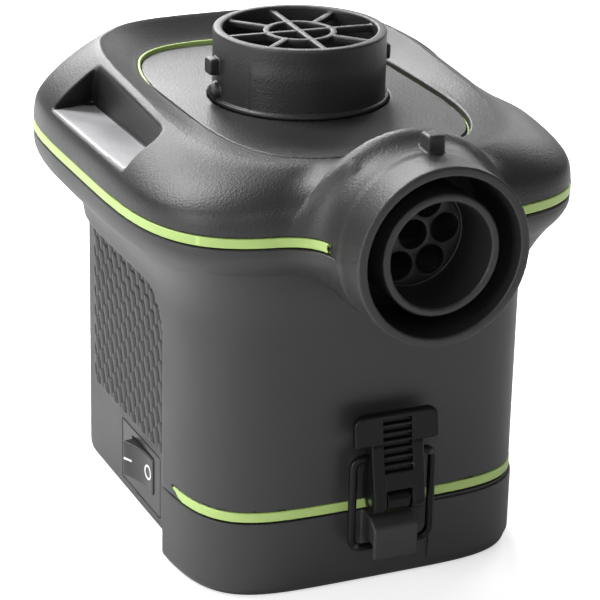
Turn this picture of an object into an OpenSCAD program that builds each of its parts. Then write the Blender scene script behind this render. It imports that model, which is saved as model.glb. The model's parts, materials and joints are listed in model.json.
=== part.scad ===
// Battery air pump for air beds: a squircle head holding a centrifugal fan,
// standing on a tower that holds eight C cells behind a latched bottom door.
// Origin: centre of the resting face, on the axis of the intake. +Z up,
// the outlet points to -Y, the switch is on the -X side.

/* [Overall] */
// Height of the intake rim above the resting face
total_h = 136; // [134:1:140]
// Height of the line where head and tower mouldings part, also the height of the outlet axis
parting_z = 102; // [101:0.5:103]
// Outer radius shared by the intake collar and the outlet collar
port_r = 23; // [22.5:0.5:23.5]
// Wall thickness of the mouldings
wall = 2; // [1.6:0.1:2.2]

/* [Head] */
// Half the width of the head
head_a = 61.5; // [60:0.5:63]
// Half the depth of the head
head_b = 68.5; // [67:0.5:70]
// How far the head sits back from the intake axis
head_yc = 2.6; // [2:0.1:3]
// Height of the recessed top plate
label_z = 117.6; // [117:0.1:118]
// How much higher the rim of the dish stands at the back than at the front
rim_rise = 5.8; // [4:0.1:6]
// Height of the coloured band round the head
band_h = 2.7; // [2.4:0.1:3]

/* [Tower] */
// Half the width of the tower across its front columns
tower_a = 48.3; // [48:0.1:49]
// Half the depth of the tower
tower_b = 56.7; // [56:0.1:57.5]
// Half the width across the flat side panels
panel_x = 42.4; // [42.2:0.1:42.8]
// Height of the seam above the door's front lip
seam_z = 21.4; // [21:0.1:22]

/* [Outlet] */
// Distance from the intake axis to the rim of the outlet
outlet_reach = 88.3; // [86:0.5:90]
// Inner radius of the air tube inside the outlet collar
tube_r = 13.5; // [13:0.1:14]

/* [Batteries] */
// Diameter of a C cell
cell_d = 26; // [25:0.1:26.2]
// Length of a C cell with its pip
cell_h = 50; // [48.6:0.1:50]

/* [Latch] */
// Sideways place of the latch
latch_x = 1.8; // [0:0.1:3]
// Diameter of the bail wire
bail_d = 2.2; // [2:0.1:2.4]

/* [Switch] */
// Tilt of the rocker from its middle to either end
rocker_tilt = 12; // [8:1:14]

/* [Hidden] */
$fn = 64;

dark = [0.25, 0.25, 0.26];
smooth_dark = [0.29, 0.29, 0.3];
black = [0.08, 0.08, 0.09];
green = [0.62, 0.85, 0.3];
steel = [0.75, 0.76, 0.78];
brass = [0.8, 0.62, 0.3];
copper = [0.72, 0.4, 0.22];
white = [0.9, 0.9, 0.88];

gap = 0.2;                       // assembly gap between static mouldings
eps = 0.01;
ring_points = 72;                // points round a lofted section

bead_r = port_r + 0.1;           // the intake collar where it passes through the cover
neck_r = port_r + 0.35;          // the collars are thicker behind their lugs
clear_l = 5;                     // clear length of the intake collar in front of its lugs
outlet_clear_l = 9.5;            // the same on the outlet collar

// --- head sections ---
head_n = 4.2;                    // squareness of the head's outline
ridge_n = 3.4;                   // squareness of the dish rim and the top plate
corner_reach = 108.3;            // |x| + y where facets cut the rear corners of the head
ridge_reach = 89;                // the same at the dish rim, which they just touch
tower_reach = 95;                // and at the tower, which they miss
band_low = parting_z - band_h / 2;
band_high = parting_z + band_h / 2;
ridge_a = 43.9;                  // half width of the dish rim
ridge_b = 59.4;                  // half depth of the dish rim
ridge_yc = 4.4;
label_a = 34.5;                  // half width of the top plate
label_b = 52.7;                  // half depth of the top plate
trim_w = 0.8;                    // width of the thin ring round the top plate
dish_z = label_z + 0.7;
rim_front_z = label_z + 0.4;
port_back = label_b + trim_w + 0.3;  // rear end of the outlet collar
groove_r = port_r - 2.5;         // inner radius of the outlet collar
tube_out = tube_r + 2.2;         // outer radius of the tube inside it
guard_r = tube_r - 0.4;          // seat of the finger guard in the bore
guard_y = 68.5;                  // distance of the seat's shoulder from the intake axis
guard_h = 2;
guard_hole_r = 3.8;
guard_hole_at = 8.7;             // distance of the outer guard holes from the middle
recess_z = label_z - 1.4;        // floor of the recess for the top plate
cover_under = recess_z - wall;   // underside of the cover below the top plate
intake_flange_z = cover_under - 1.9;
grille_r = 9.7;                  // hub ring of the intake grille
pocket_z = 110.5;                // floor of the finger pockets
post_r = 3.4;                    // screw posts
screw_bore = 1.45;

// --- tower sections ---
tower_n = 5;                     // squareness of the tower's outside
crease_z = 92;                   // where the rounded lip of the head ends
flare_z = 74;                    // where the tower starts to flare into the head
crease_inset = 3.6;
flare_power = 2.2;               // how late the flare spreads
panel_front = -24.5;             // front end of the flat side panel
panel_top = 75.5;
lower_band_z = seam_z + 0.5;
lower_band_h = 2.6;
lower_band_back = -30;           // rear ends of the lower band
housing_top = band_low;
tower_inner = panel_x - wall - 0.1;

// --- fan and motor ---
fan_low = 91;
fan_high = 111.8;
fan_split = 102;
motor_r = 13.85;
motor_low = 62;
motor_high = fan_low;
shaft_r = 1.15;
eye_r = 19;
impeller_r = 36;

// --- batteries ---
deck_low = 57.6;
deck_high = 59.6;
cell_low = 4.2;
cell_pitch_x = cell_d + 0.8;
cell_pitch_y = 28.5;
cell_yc = 3;
// the cells in series; the place behind the switch stays empty
cell_path = [[-1, -1], [0, -1], [1, -1], [1, 0], [0, 0], [1, 1], [0, 1], [-1, 1]];
wire_holes = [[-30, 5], [-18, 24]];
ledge_low = deck_high + 0.1;
ledge_high = ledge_low + 2;

// --- door and its hinge ---
hinge_y = 49;
hinge_z = 4.5;
hinge_r = 4.5;
hinge_pin_r = 1.5;
plate_h = 2.2;
door_half = panel_x - wall - 0.6;
hinge_lug_x = [-29, 0, 29];
hinge_lug_w = 7;
pin_half = 32.3;

// --- latch ---
lever_py = -63;                  // lever pivot
lever_pz = 26.5;
bail_by = -60.9;                 // bail pivot in the lever
bail_bz = 38.1;
bail_half = 11.25;               // half the distance between the bail's wires
bail_bar_z = 12.6;
latch_pin_r = 1;
ear_r = 3.3;
catch_y = 64.6;
bracket_low = lower_band_z + lower_band_h + 0.3;

// --- switch ---
switch_yc = 6.5;
switch_zc = 11.75;
rocker_yc = 5.1;
rocker_zc = 13.15;
rocker_px = -39.6;
rocker_l = 15.6;
rocker_h = 10.3;
rocker_pin_r = 1.2;
running = 0.05;                  // radial clearance of a running fit

// --- helpers ---
function mix(p, q, t) = p + (q - p) * t;
function clamp01(t) = max(0, min(1, t));
function smooth(t) = let (c = clamp01(t)) c * c * (3 - 2 * c);
function bulge(t, n) = sign(t) * pow(abs(t), 2 / n);
// rounded rectangle: an ellipse at n = 2, squarer as n grows
function squircle(a, b, yc, n) = [
    for (i = [0.5 : ring_points]) let (t = 360 * i / ring_points)
    [a * bulge(cos(t), n), yc + b * bulge(sin(t), n)]];
function flat_ring(a, b, yc, n, z) = [for (p = squircle(a, b, yc, n)) [p[0], p[1], z]];
// nearly flat facets across the two rear corners of an outline
function facet(points, reach) = [
    for (p = points) let (over = 0.45 * max(0, abs(p[0]) + p[1] - reach))
    [p[0] - sign(p[0]) * over, p[1] - over]];
// outline of the head, and the same as a level section
function head_outline(inset) =
    facet(squircle(head_a - inset, head_b - inset, head_yc, head_n), corner_reach - 1.5 * inset);
function head_level(inset, z) = [for (p = head_outline(inset)) [p[0], p[1], z]];
// height of the dish rim, which climbs towards the back
function ridge_z(y) = rim_front_z + rim_rise * smooth((y + 57) / 104);
// section of the head between its outline (u = 0) and the dish rim (u = 1), f of the way up
function head_ring(u, f, inset = 0, drop = 0) =
    let (plan = squircle(mix(head_a, ridge_a, u) - inset, mix(head_b, ridge_b, u) - inset,
        mix(head_yc, ridge_yc, u), mix(head_n, ridge_n, u)))
    [for (p = facet(plan, mix(corner_reach, ridge_reach, u) - 1.5 * inset))
        [p[0], p[1], mix(band_high, ridge_z(p[1]), f) - drop]];
// section of the dish between its rim (w = 0) and the edge of the top plate (w = 1)
function dish_ring(w, g) = [
    for (p = squircle(mix(ridge_a, label_a + trim_w, w), mix(ridge_b, label_b + trim_w, w),
            mix(ridge_yc, 0, w), ridge_n))
    [p[0], p[1], mix(ridge_z(p[1]), dish_z, g)]];
// section of the flare: k is 1 at the lip crease and 0 at the tower
function flare_ring(z, inset = 0) =
    let (k = pow(clamp01((z - flare_z) / (crease_z - flare_z)), flare_power))
    let (plan = squircle(mix(tower_a, head_a - crease_inset, k) - inset,
        mix(tower_b, head_b - crease_inset, k) - inset, mix(0, head_yc, k), mix(tower_n, head_n, k)))
    [for (p = facet(plan, mix(tower_reach, corner_reach - 1.5 * crease_inset, k) - 1.5 * inset))
        [p[0], p[1], z]];

// closed solid through a stack of rings, lowest ring first
module loft(rings) {
    n = len(rings[0]);
    m = len(rings);
    points = [for (r = rings) each r];
    sides = [for (j = [0 : m - 2], i = [0 : n - 1]) let (k = (i + 1) % n)
        each [[j * n + i, (j + 1) * n + i, (j + 1) * n + k], [j * n + i, (j + 1) * n + k, j * n + k]]];
    low = [for (i = [0 : n - 1]) i];
    high = [for (i = [0 : n - 1]) m * n - 1 - i];
    polyhedron(points, concat([low], sides, [high]), convexity = 6);
}
module tube(r_out, r_in, h) {
    difference() {
        cylinder(r = r_out, h = h);
        translate([0, 0, -eps]) cylinder(r = r_in, h = h + 2 * eps);
    }
}
module ring_extrude(outer, inner, z0, z1) {
    translate([0, 0, z0]) linear_extrude(z1 - z0) difference() { polygon(outer); polygon(inner); }
}
module along_x(at, h, centre = true) {
    // lays a child that stands on Z, h long, along X
    translate(at) rotate([0, 90, 0]) translate([0, 0, centre ? -h / 2 : 0]) children();
}
module along_outlet() {
    // lays a child that stands on Z along the axis of the outlet
    translate([0, 0, parting_z]) rotate([90, 0, 0]) children();
}
module outlet_hole() {
    along_outlet() translate([0, 0, port_back]) cylinder(r = neck_r + gap, h = outlet_reach - port_back);
}
module slab(x0, x1, y0, y1, z0, z1) {
    translate([x0, y0, z0]) cube([x1 - x0, y1 - y0, z1 - z0]);
}

// ---------------------------------------------------------------- head
cover_posts = [[37, -41], [-37, -41], [13.4, 47.5], [-13.4, 47.5]];
fan_posts = [for (a = [50, 130, 242, 298]) [50.5 * cos(a), 50.5 * sin(a)]];

module pocket_pair(grow, low) {
    // finger pockets on the two shoulders, open towards the outside
    corner_r = 6 + grow;
    for (side = [0, 1]) mirror([side, 0, 0]) translate([0, 0, low]) linear_extrude(30) union() {
        translate([45.4 - grow + corner_r, -25 - grow]) square([22, 57 + 2 * grow]);
        translate([45.4 - grow, -25 - grow + corner_r]) square([22, 57 + 2 * grow - 2 * corner_r]);
        for (y = [-25 - grow + corner_r, 32 + grow - corner_r])
            translate([45.4 - grow + corner_r, y]) circle(corner_r);
    }
}
module cover_outer() {
    loft([
        head_ring(0, 0), head_ring(0, 0.17), head_ring(0.045, 0.32), head_ring(0.12, 0.45),
        head_ring(0.22, 0.56), head_ring(0.45, 0.73), head_ring(0.72, 0.885), head_ring(0.9, 0.97),
        head_ring(1, 1), dish_ring(0.12, 0.04), dish_ring(0.4, 0.35), dish_ring(0.75, 0.85),
        dish_ring(1, 1)]);
}
module cover_cavity() {
    difference() {
        loft([
            head_ring(0, 0, wall + 0.2, 1), head_ring(0, 0.12, wall + 0.2), head_ring(0.1, 0.38, wall),
            head_ring(0.22, 0.52, wall - 0.3, 0.9), head_ring(0.5, 0.76, 1.2, 1.9),
            flat_ring(label_a + 2, label_b + 2, 0, ridge_n, cover_under)]);
        pocket_pair(wall, pocket_z - wall);
        for (at = cover_posts) translate([at[0], at[1], 0]) cylinder(r = post_r, h = total_h);
        for (at = fan_posts) translate([at[0], at[1], fan_split + 2]) cylinder(r = post_r, h = total_h);
    }
}
module outlet_collar() {
    // collar moulded in one with the cover; its rear closes with a dome
    dome = [
        for (t = [0 : 10 : 90])
        [tube_out + (neck_r - tube_out) * cos(t), port_back + 10 - 9.8 * sin(t)]];
    clear_end = outlet_reach - outlet_clear_l - 0.4;
    along_outlet() {
        rotate_extrude() polygon(concat(
            [[0, port_back + 0.2], [0, outlet_reach], [port_r - 0.4, outlet_reach],
                [port_r, outlet_reach - 0.4], [port_r, clear_end], [neck_r, clear_end]],
            dome));
        rotate(90) translate([0, 0, 74]) port_lug(port_r, 2.9, 4.2, 4.3);
        for (a = [47, 133]) rotate(a) translate([port_r, 0, 70]) sphere(1.6);
    }
}
module top_cover() {
    color(dark) difference() {
        union() {
            difference() {
                cover_outer();
                cover_cavity();
            }
            for (at = cover_posts) translate([at[0], at[1], ledge_high + gap])
                cylinder(r = post_r, h = band_high + 2 - ledge_high);
            outlet_collar();
        }
        translate([0, 0, recess_z]) linear_extrude(10)
            polygon(squircle(label_a + trim_w, label_b + trim_w, 0, ridge_n));
        translate([0, 0, label_z - 10]) cylinder(r = port_r + gap, h = 20);
        pocket_pair(0, pocket_z);
        along_outlet() translate([0, 0, port_back - 1]) cylinder(r = groove_r, h = outlet_reach);
        for (at = cover_posts) translate([at[0], at[1], ledge_high]) cylinder(r = screw_bore, h = 16);
        for (at = fan_posts) translate([at[0], at[1], fan_split + 1]) cylinder(r = screw_bore, h = 11);
    }
}
module port_lug(r, l, w, h) {
    // bayonet lug standing on a collar of radius r
    translate([r - 0.5, -w / 2, -h / 2]) cube([l + 0.5, w, h]);
}
module intake_port() {
    rim_in = port_r - 2.5;
    color(dark) difference() {
        union() {
            rotate_extrude() polygon([
                [rim_in, intake_flange_z], [port_r + 4, intake_flange_z], [port_r + 4, cover_under - 0.1],
                [bead_r, cover_under - 0.1], [bead_r, label_z + 0.1], [port_r + 1, label_z + 0.1],
                [port_r + 1, label_z + 0.6], [port_r + 0.4, label_z + 1.4], [neck_r, label_z + 2.4],
                [neck_r, total_h - clear_l - 0.4], [port_r, total_h - clear_l - 0.4],
                [port_r, total_h - 0.4], [port_r - 0.4, total_h], [rim_in + 0.4, total_h],
                [rim_in, total_h - 0.5]]);
            for (a = [0, 180]) rotate(a) translate([0, 0, 128]) port_lug(port_r, 2.9, 4.2, 4.3);
            translate([-port_r, 0.8, 121.6]) sphere(2.6);
            // grille: hub ring, crossed bars inside it and eight spokes outside it
            translate([0, 0, total_h - 2.8]) {
                tube(grille_r, grille_r - 1.5, 1.9);
                for (a = [-3, 87]) rotate(a) translate([-grille_r + 0.5, -0.75, 0])
                    cube([2 * grille_r - 1, 1.5, 1.9]);
                for (a = [0 : 45 : 315]) rotate(a - 3) translate([grille_r - 0.5, -0.75, 0])
                    cube([rim_in - grille_r + 1, 1.5, 1.9]);
            }
        }
        translate([0, 0, intake_flange_z - 1]) cylinder(r = eye_r - 4, h = 2);
    }
}
module label_plate() {
    color(dark) ring_extrude(squircle(label_a - 0.05, label_b - 0.05, 0, ridge_n),
        squircle(port_r + 1.2, port_r + 1.2, 0, 2), recess_z + 0.05, label_z);
}
module label_trim() {
    color(green) ring_extrude(squircle(label_a + trim_w - 0.05, label_b + trim_w - 0.05, 0, ridge_n),
        squircle(label_a + 0.05, label_b + 0.05, 0, ridge_n), recess_z + 0.05, dish_z);
}
module outlet_tube() {
    // tube inside the collar, carried by a disc that closes the groove round it;
    // the guard rests on a shoulder in the bore, behind the clear length for a nozzle
    tip = outlet_reach - 1.8;
    color(dark) along_outlet() rotate_extrude() polygon([
        [guard_r - 0.6, port_back + 0.2], [guard_r - 0.6, guard_y], [guard_r, guard_y],
        [guard_r, guard_y + guard_h], [tube_r, guard_y + guard_h],
        [tube_r, tip - 0.5], [tube_r + 0.5, tip],
        [tube_out - 0.5, tip], [tube_out, tip - 0.5], [tube_out, port_back + 12],
        [groove_r - 0.05, port_back + 12], [groove_r - 0.05, port_back + 10], [tube_out, port_back + 10],
        [tube_out, port_back + 0.2]]);
}
module outlet_guard() {
    color(dark) along_outlet() translate([0, 0, guard_y + 0.05]) difference() {
        cylinder(r = guard_r - 0.05, h = guard_h - 0.1);
        for (at = concat([[0, 0]], [for (a = [5 : 60 : 305]) guard_hole_at * [cos(a), sin(a)]]))
            translate([at[0], at[1], -1]) cylinder(r = guard_hole_r, h = guard_h + 2);
    }
}
module head_trim() {
    color(green) difference() {
        ring_extrude(head_outline(0), head_outline(4), band_low + 0.05, band_high - 0.05);
        outlet_hole();
        slab(-neck_r - gap, neck_r + gap, -head_b, -52, band_low - 1, band_high + 1);
    }
}

// ---------------------------------------------------------------- housing
module side_panels(x, front, top, low = -1) {
    // everything outside the flat side panels, below the flare
    corner_r = 13;
    for (side = [0, 1])
        mirror([side, 0, 0]) translate([x, 0, 0]) rotate([90, 0, 90]) linear_extrude(20) union() {
            translate([front, low]) square([100, top - low - corner_r]);
            translate([front + corner_r, low]) square([100, top - low]);
            translate([front + corner_r, top - corner_r]) circle(corner_r);
        }
}
module compartment(grow = 0) {
    // plan of the space for the cells
    intersection() {
        polygon(squircle(tower_a - wall + grow, tower_b - wall + grow, 0, 4));
        union() {
            translate([-60, -60]) square([120, 60 + panel_front - wall]);
            translate([-tower_inner - grow, -60]) square([2 * tower_inner + 2 * grow, 120]);
        }
    }
}
module main_housing() {
    flare_in = wall + 0.2;
    color(smooth_dark) difference() {
        loft([
            flat_ring(tower_a - 1.2, tower_b - 1.2, 0, tower_n, 0),
            flat_ring(tower_a, tower_b, 0, tower_n, 1.2),
            flare_ring(flare_z), flare_ring(77), flare_ring(80), flare_ring(83), flare_ring(86),
            flare_ring(89), flare_ring(crease_z), head_level(2, 93.4), head_level(0.8, 95.6),
            head_level(0.2, 98.6), head_level(0.6, housing_top)]);
        // space for the cells, with a ledge that the battery frame is pulled against
        translate([0, 0, -1]) linear_extrude(ledge_low + 1) compartment();
        translate([0, 0, ledge_low - eps]) linear_extrude(10) compartment(-3);
        translate([0, 0, ledge_high]) linear_extrude(panel_top + 2.5 - ledge_high) compartment();
        loft([
            flare_ring(panel_top + 2.4, flare_in), flare_ring(83, flare_in), flare_ring(88, flare_in),
            flare_ring(crease_z, flare_in - 0.4), head_level(2.8, 97), head_level(2.8, housing_top + 1)]);
        for (at = cover_posts) translate([at[0], at[1], ledge_low - 1]) cylinder(r = post_r + gap, h = 6);
        side_panels(panel_x, panel_front, panel_top);
        // the door's front lip closes the space below the seam
        slab(-60, 60, -60, panel_front, -1, seam_z + gap);
        // groove for the lower band
        difference() {
            ring_extrude(squircle(tower_a + 1, tower_b + 1, 0, tower_n),
                squircle(tower_a - 1.1, tower_b - 1.1, 0, tower_n),
                lower_band_z - 0.05, lower_band_z + lower_band_h + 0.05);
            slab(-60, 60, lower_band_back, 60, 0, 60);
        }
        outlet_hole();
        // seat and opening for the switch
        slab(-60, -panel_x + 1.2, switch_yc - 14.9, switch_yc + 14.9, switch_zc - 9.15, switch_zc + 9.15);
        slab(-60, -30, switch_yc - 10.2, switch_yc + 10.2, switch_zc - 8, switch_zc + 8);
    }
    // lugs that hold the ends and the middle of the hinge pin
    color(smooth_dark) difference() {
        for (x = hinge_lug_x) {
            along_x([x, hinge_y, hinge_z], hinge_lug_w) cylinder(r = hinge_r - 0.6, h = hinge_lug_w);
            slab(x - hinge_lug_w / 2, x + hinge_lug_w / 2, hinge_y, tower_b - wall / 2 - 3.2 * abs(x) / 60,
                hinge_z, hinge_z + hinge_r - 0.6);
        }
        along_x([0, hinge_y, hinge_z], 100) cylinder(r = hinge_pin_r + running, h = 100);
    }
}
module lower_trim() {
    color(green) difference() {
        ring_extrude(squircle(tower_a + 0.15, tower_b + 0.15, 0, tower_n),
            squircle(tower_a - 1, tower_b - 1, 0, tower_n),
            lower_band_z, lower_band_z + lower_band_h);
        slab(-60, 60, lower_band_back - 0.1, 60, 0, 60);
    }
}
module grip_pad(side) {
    corner_r = 12;
    rib_pitch = 4.6;
    color(dark) mirror([side > 0 ? 0 : 1, 0, 0]) translate([panel_x + 0.05, 0, 0]) rotate([90, 0, 90]) {
        linear_extrude(0.6) difference() {
            translate([panel_front + 0.8, 23]) square([68, panel_top - 24]);
            translate([panel_front + 0.8, panel_top - 1 - corner_r]) difference() {
                square(corner_r + 1);
                translate([corner_r, 0]) circle(corner_r);
            }
        }
        for (k = [0 : 13]) translate([panel_front + 2.2 + k * rib_pitch, 24, 0.5])
            cube([2.2, k < 2 ? 41 : 50, 0.45]);
    }
}
module left_grip_pad() { grip_pad(-1); }
module right_grip_pad() { grip_pad(1); }

// ---------------------------------------------------------------- fan
function volute_r(t) = 38.6 + 4.4 * t / 360;
module volute(shrink = 0) {
    union() {
        polygon([for (t = [0 : 5 : 355]) (volute_r(t) - shrink) * [cos(t - 75), sin(t - 75)]]);
        translate([-14.5 + shrink, -51.2 - (shrink > 0 ? 1 : 0)]) square([29 - 2 * shrink, 40]);
    }
}
module fan_ears(z, h) {
    translate([0, 0, z]) linear_extrude(h) for (at = fan_posts) {
        translate(at) circle(post_r);
        rotate(atan2(at[1], at[0])) translate([38, -3]) square([12.5, 6]);
    }
}
module fan_housing() {
    color(black) difference() {
        union() {
            translate([0, 0, fan_low]) linear_extrude(fan_split - 0.1 - fan_low) volute();
            fan_ears(fan_split - 2.1, 2);
        }
        translate([0, 0, fan_low + 2]) linear_extrude(20) volute(1.8);
        translate([0, 0, fan_low - 1]) cylinder(r = 6, h = 4);
        for (y = [-8, 8]) translate([0, y, fan_low - 1]) cylinder(r = 1.4, h = 4);
        for (y = [-8, 8]) translate([0, y, fan_low + 0.8]) cylinder(r = 2.6, h = 4);
        for (at = fan_posts) translate([at[0], at[1], fan_split - 5])
            cylinder(r = screw_bore + 0.25, h = 10);
    }
}
module fan_cover() {
    color(black) difference() {
        union() {
            translate([0, 0, fan_split]) linear_extrude(fan_high - fan_split) volute();
            fan_ears(fan_split, 1.9);
        }
        translate([0, 0, fan_split - 1]) linear_extrude(fan_high - fan_split - 1) volute(1.8);
        translate([0, 0, fan_split]) cylinder(r = eye_r, h = 20);
        for (at = fan_posts) translate([at[0], at[1], fan_split - 1]) cylinder(r = screw_bore + 0.25, h = 5);
    }
}
module pan_screw(head_r, head_h, r, l) {
    // head at the bottom, thread pointing up, with a cross recess in the head
    difference() {
        union() {
            cylinder(r = head_r, h = head_h);
            translate([0, 0, head_h - eps]) cylinder(r = r, h = l);
        }
        for (a = [0, 90]) rotate(a) translate([-head_r * 0.6, -0.3, -1]) cube([head_r * 1.2, 0.6, 1.9]);
    }
}
module fan_screws() {
    color(steel) for (at = fan_posts) translate([at[0], at[1], fan_split - 4.2]) pan_screw(2.6, 2, 1.4, 12);
}
module housing_screws() {
    color(steel) for (at = cover_posts) translate([at[0], at[1], deck_low - 2.1]) pan_screw(2.7, 2, 1.4, 18);
}
function blade_r(i) = mix(12, impeller_r - 0.3, i / 8);
module impeller() {
    blades = 9;
    color(white) translate([0, 0, 94.4]) difference() {
        union() {
            cylinder(r = impeller_r, h = 1.5);
            cylinder(r = 6.5, h = 10);
            // each blade leans back along a circular arc
            for (k = [0 : blades - 1]) rotate(k * 360 / blades) linear_extrude(13.4)
                polygon(concat(
                    [for (i = [0 : 8]) let (r = blade_r(i)) r * [cos(5 * i), sin(5 * i)]],
                    [for (i = [8 : -1 : 0]) let (r = blade_r(i), t = 5 * i + 75 / r) r * [cos(t), sin(t)]]));
            // the blades stand on a rib that joins them to the hub
            difference() {
                cylinder(r = 12.6, h = 4);
                translate([0, 0, -1]) cylinder(r = 11, h = 6);
            }
        }
        translate([0, 0, -1]) cylinder(r = shaft_r, h = 20);
    }
}
// ---------------------------------------------------------------- motor
module motor_can() {
    color(steel) difference() {
        translate([0, 0, motor_low + 1.5]) cylinder(r = motor_r, h = motor_high - motor_low - 1.6);
        translate([0, 0, motor_low]) cylinder(r = motor_r - 1, h = motor_high - motor_low - 1.1);
        translate([0, 0, motor_low]) cylinder(r = 3.05, h = 40);
        for (y = [-8, 8]) translate([0, y, motor_low]) cylinder(r = 1.25, h = 40);
    }
}
module motor_end_cap() {
    color(black) difference() {
        union() {
            translate([0, 0, motor_low]) cylinder(r = motor_r, h = 1.4);
            translate([0, 0, motor_low]) cylinder(r = motor_r - 1.05, h = 4);
        }
        translate([0, 0, motor_low + 1.4]) cylinder(r = motor_r - 2.4, h = 10);
        translate([0, 0, motor_low - 1]) cylinder(r = 3.05, h = 10);
    }
    // holders for the two brushes
    color(black) for (side = [-1, 1]) translate([side * 8.2, 0, motor_low + 1.3]) difference() {
        translate([-2.5, -2.5, 0]) cube([5, 5, 4.6]);
        translate([-4, -1.6, 1.4]) cube([8, 3.2, 2.2]);
    }
}
module motor_magnets() {
    color([0.3, 0.3, 0.32]) for (a = [0, 180]) rotate(a) translate([0, 0, 68.5]) intersection() {
        tube(motor_r - 1.05, 10.7, 17);
        rotate(-55) cube([20, 20, 20]);
        rotate(-35) cube([20, 20, 20]);
    }
}
module motor_bushes() {
    color(brass) {
        translate([0, 0, motor_low]) tube(3, shaft_r + running, 3);
        translate([0, 0, motor_high - 2.5]) tube(3, shaft_r + running, 3.6);
    }
}
module motor_brushes() {
    color([0.2, 0.2, 0.2]) for (side = [-1, 1]) translate([side * 7, 0, motor_low + 3.8])
        translate([-3.5, -1.5, -1]) cube([7, 3, 2]);
}
module motor_shaft() {
    color(steel) translate([0, 0, 61.2]) cylinder(r = shaft_r, h = 42.5);
}
module motor_armature() {
    color(steel) translate([0, 0, 71]) difference() {
        cylinder(r = 10.2, h = 13);
        for (a = [0 : 72 : 288]) rotate(a) translate([7, -0.9, -1]) cube([5, 1.8, 15]);
        translate([0, 0, -1]) cylinder(r = shaft_r, h = 15);
    }
    // copper windings bulge beyond both ends of the stack
    color(copper) for (z = [69.2, 84]) translate([0, 0, z]) tube(8, 3.9, 1.8 + eps);
}
module motor_commutator() {
    color(copper) translate([0, 0, 65.2]) difference() {
        tube(3.35, shaft_r, 3.9);
        for (a = [0 : 72 : 288]) rotate(a) translate([2.6, -0.2, -1]) cube([2, 0.4, 5]);
    }
}
module motor_screws() {
    color(steel) for (y = [-8, 8])
        translate([0, y, fan_low + 2]) mirror([0, 0, 1]) pan_screw(2.4, 1.1, 1.2, 4);
}

// ---------------------------------------------------------------- batteries
function cell_at(k) = [cell_path[k][0] * cell_pitch_x, cell_yc + cell_path[k][1] * cell_pitch_y];
module battery_frame() {
    color(dark) difference() {
        union() {
            translate([0, 0, deck_low]) linear_extrude(deck_high - deck_low) compartment(-0.3);
            // ribs between the rows of cells
            for (j = [-0.5, 0.5]) translate([-22, cell_yc + j * cell_pitch_y - 0.6, 24])
                cube([tower_inner + 21.4, 1.2, deck_low - 24 + eps]);
        }
        for (at = cover_posts) translate([at[0], at[1], deck_low - 1]) cylinder(r = 1.7, h = 5);
        for (at = wire_holes) translate([at[0], at[1], deck_low - 1]) cylinder(r = 2, h = 5);
    }
}
module battery_cells() {
    pip = 1.5;
    for (k = [0 : 7]) translate([cell_at(k)[0], cell_at(k)[1], cell_low + cell_h / 2])
        rotate([k % 2 == 0 ? 0 : 180, 0, 0]) translate([0, 0, -cell_h / 2]) {
            color(copper) cylinder(r = cell_d / 2, h = cell_h - pip);
            color(steel) cylinder(r = 3.2, h = cell_h);
        }
}
module contact_link(k, z, h, stub_z, stub_h) {
    // strip from the middle of cell k to the middle of the next cell, with a raised pad over each
    p = cell_at(k);
    q = cell_at(k + 1);
    span = norm(q - p);
    translate([p[0], p[1], 0]) rotate(atan2(q[1] - p[1], q[0] - p[0])) {
        translate([-5, -5, z]) cube([span + 10, 10, h]);
        narrow_low = stub_z < z;
        for (x = [0, span]) translate([x, 0, stub_z])
            cylinder(r1 = narrow_low ? 3 : 4.6, r2 = narrow_low ? 4.6 : 3, h = stub_h);
    }
}
module upper_contacts() {
    top = cell_low + cell_h + 0.1;
    color(brass) {
        for (k = [1, 3, 5]) contact_link(k, deck_low - 0.6, 0.5, top, deck_low - 0.6 - top + eps);
        // end terminals of the chain
        for (k = [0, 7]) translate([cell_at(k)[0], cell_at(k)[1], 0]) {
            translate([-5, -5, deck_low - 0.6]) cube([10, 10, 0.5]);
            translate([0, 0, top]) cylinder(r1 = 3, r2 = 4.6, h = deck_low - 0.6 - top + eps);
        }
    }
}
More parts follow.
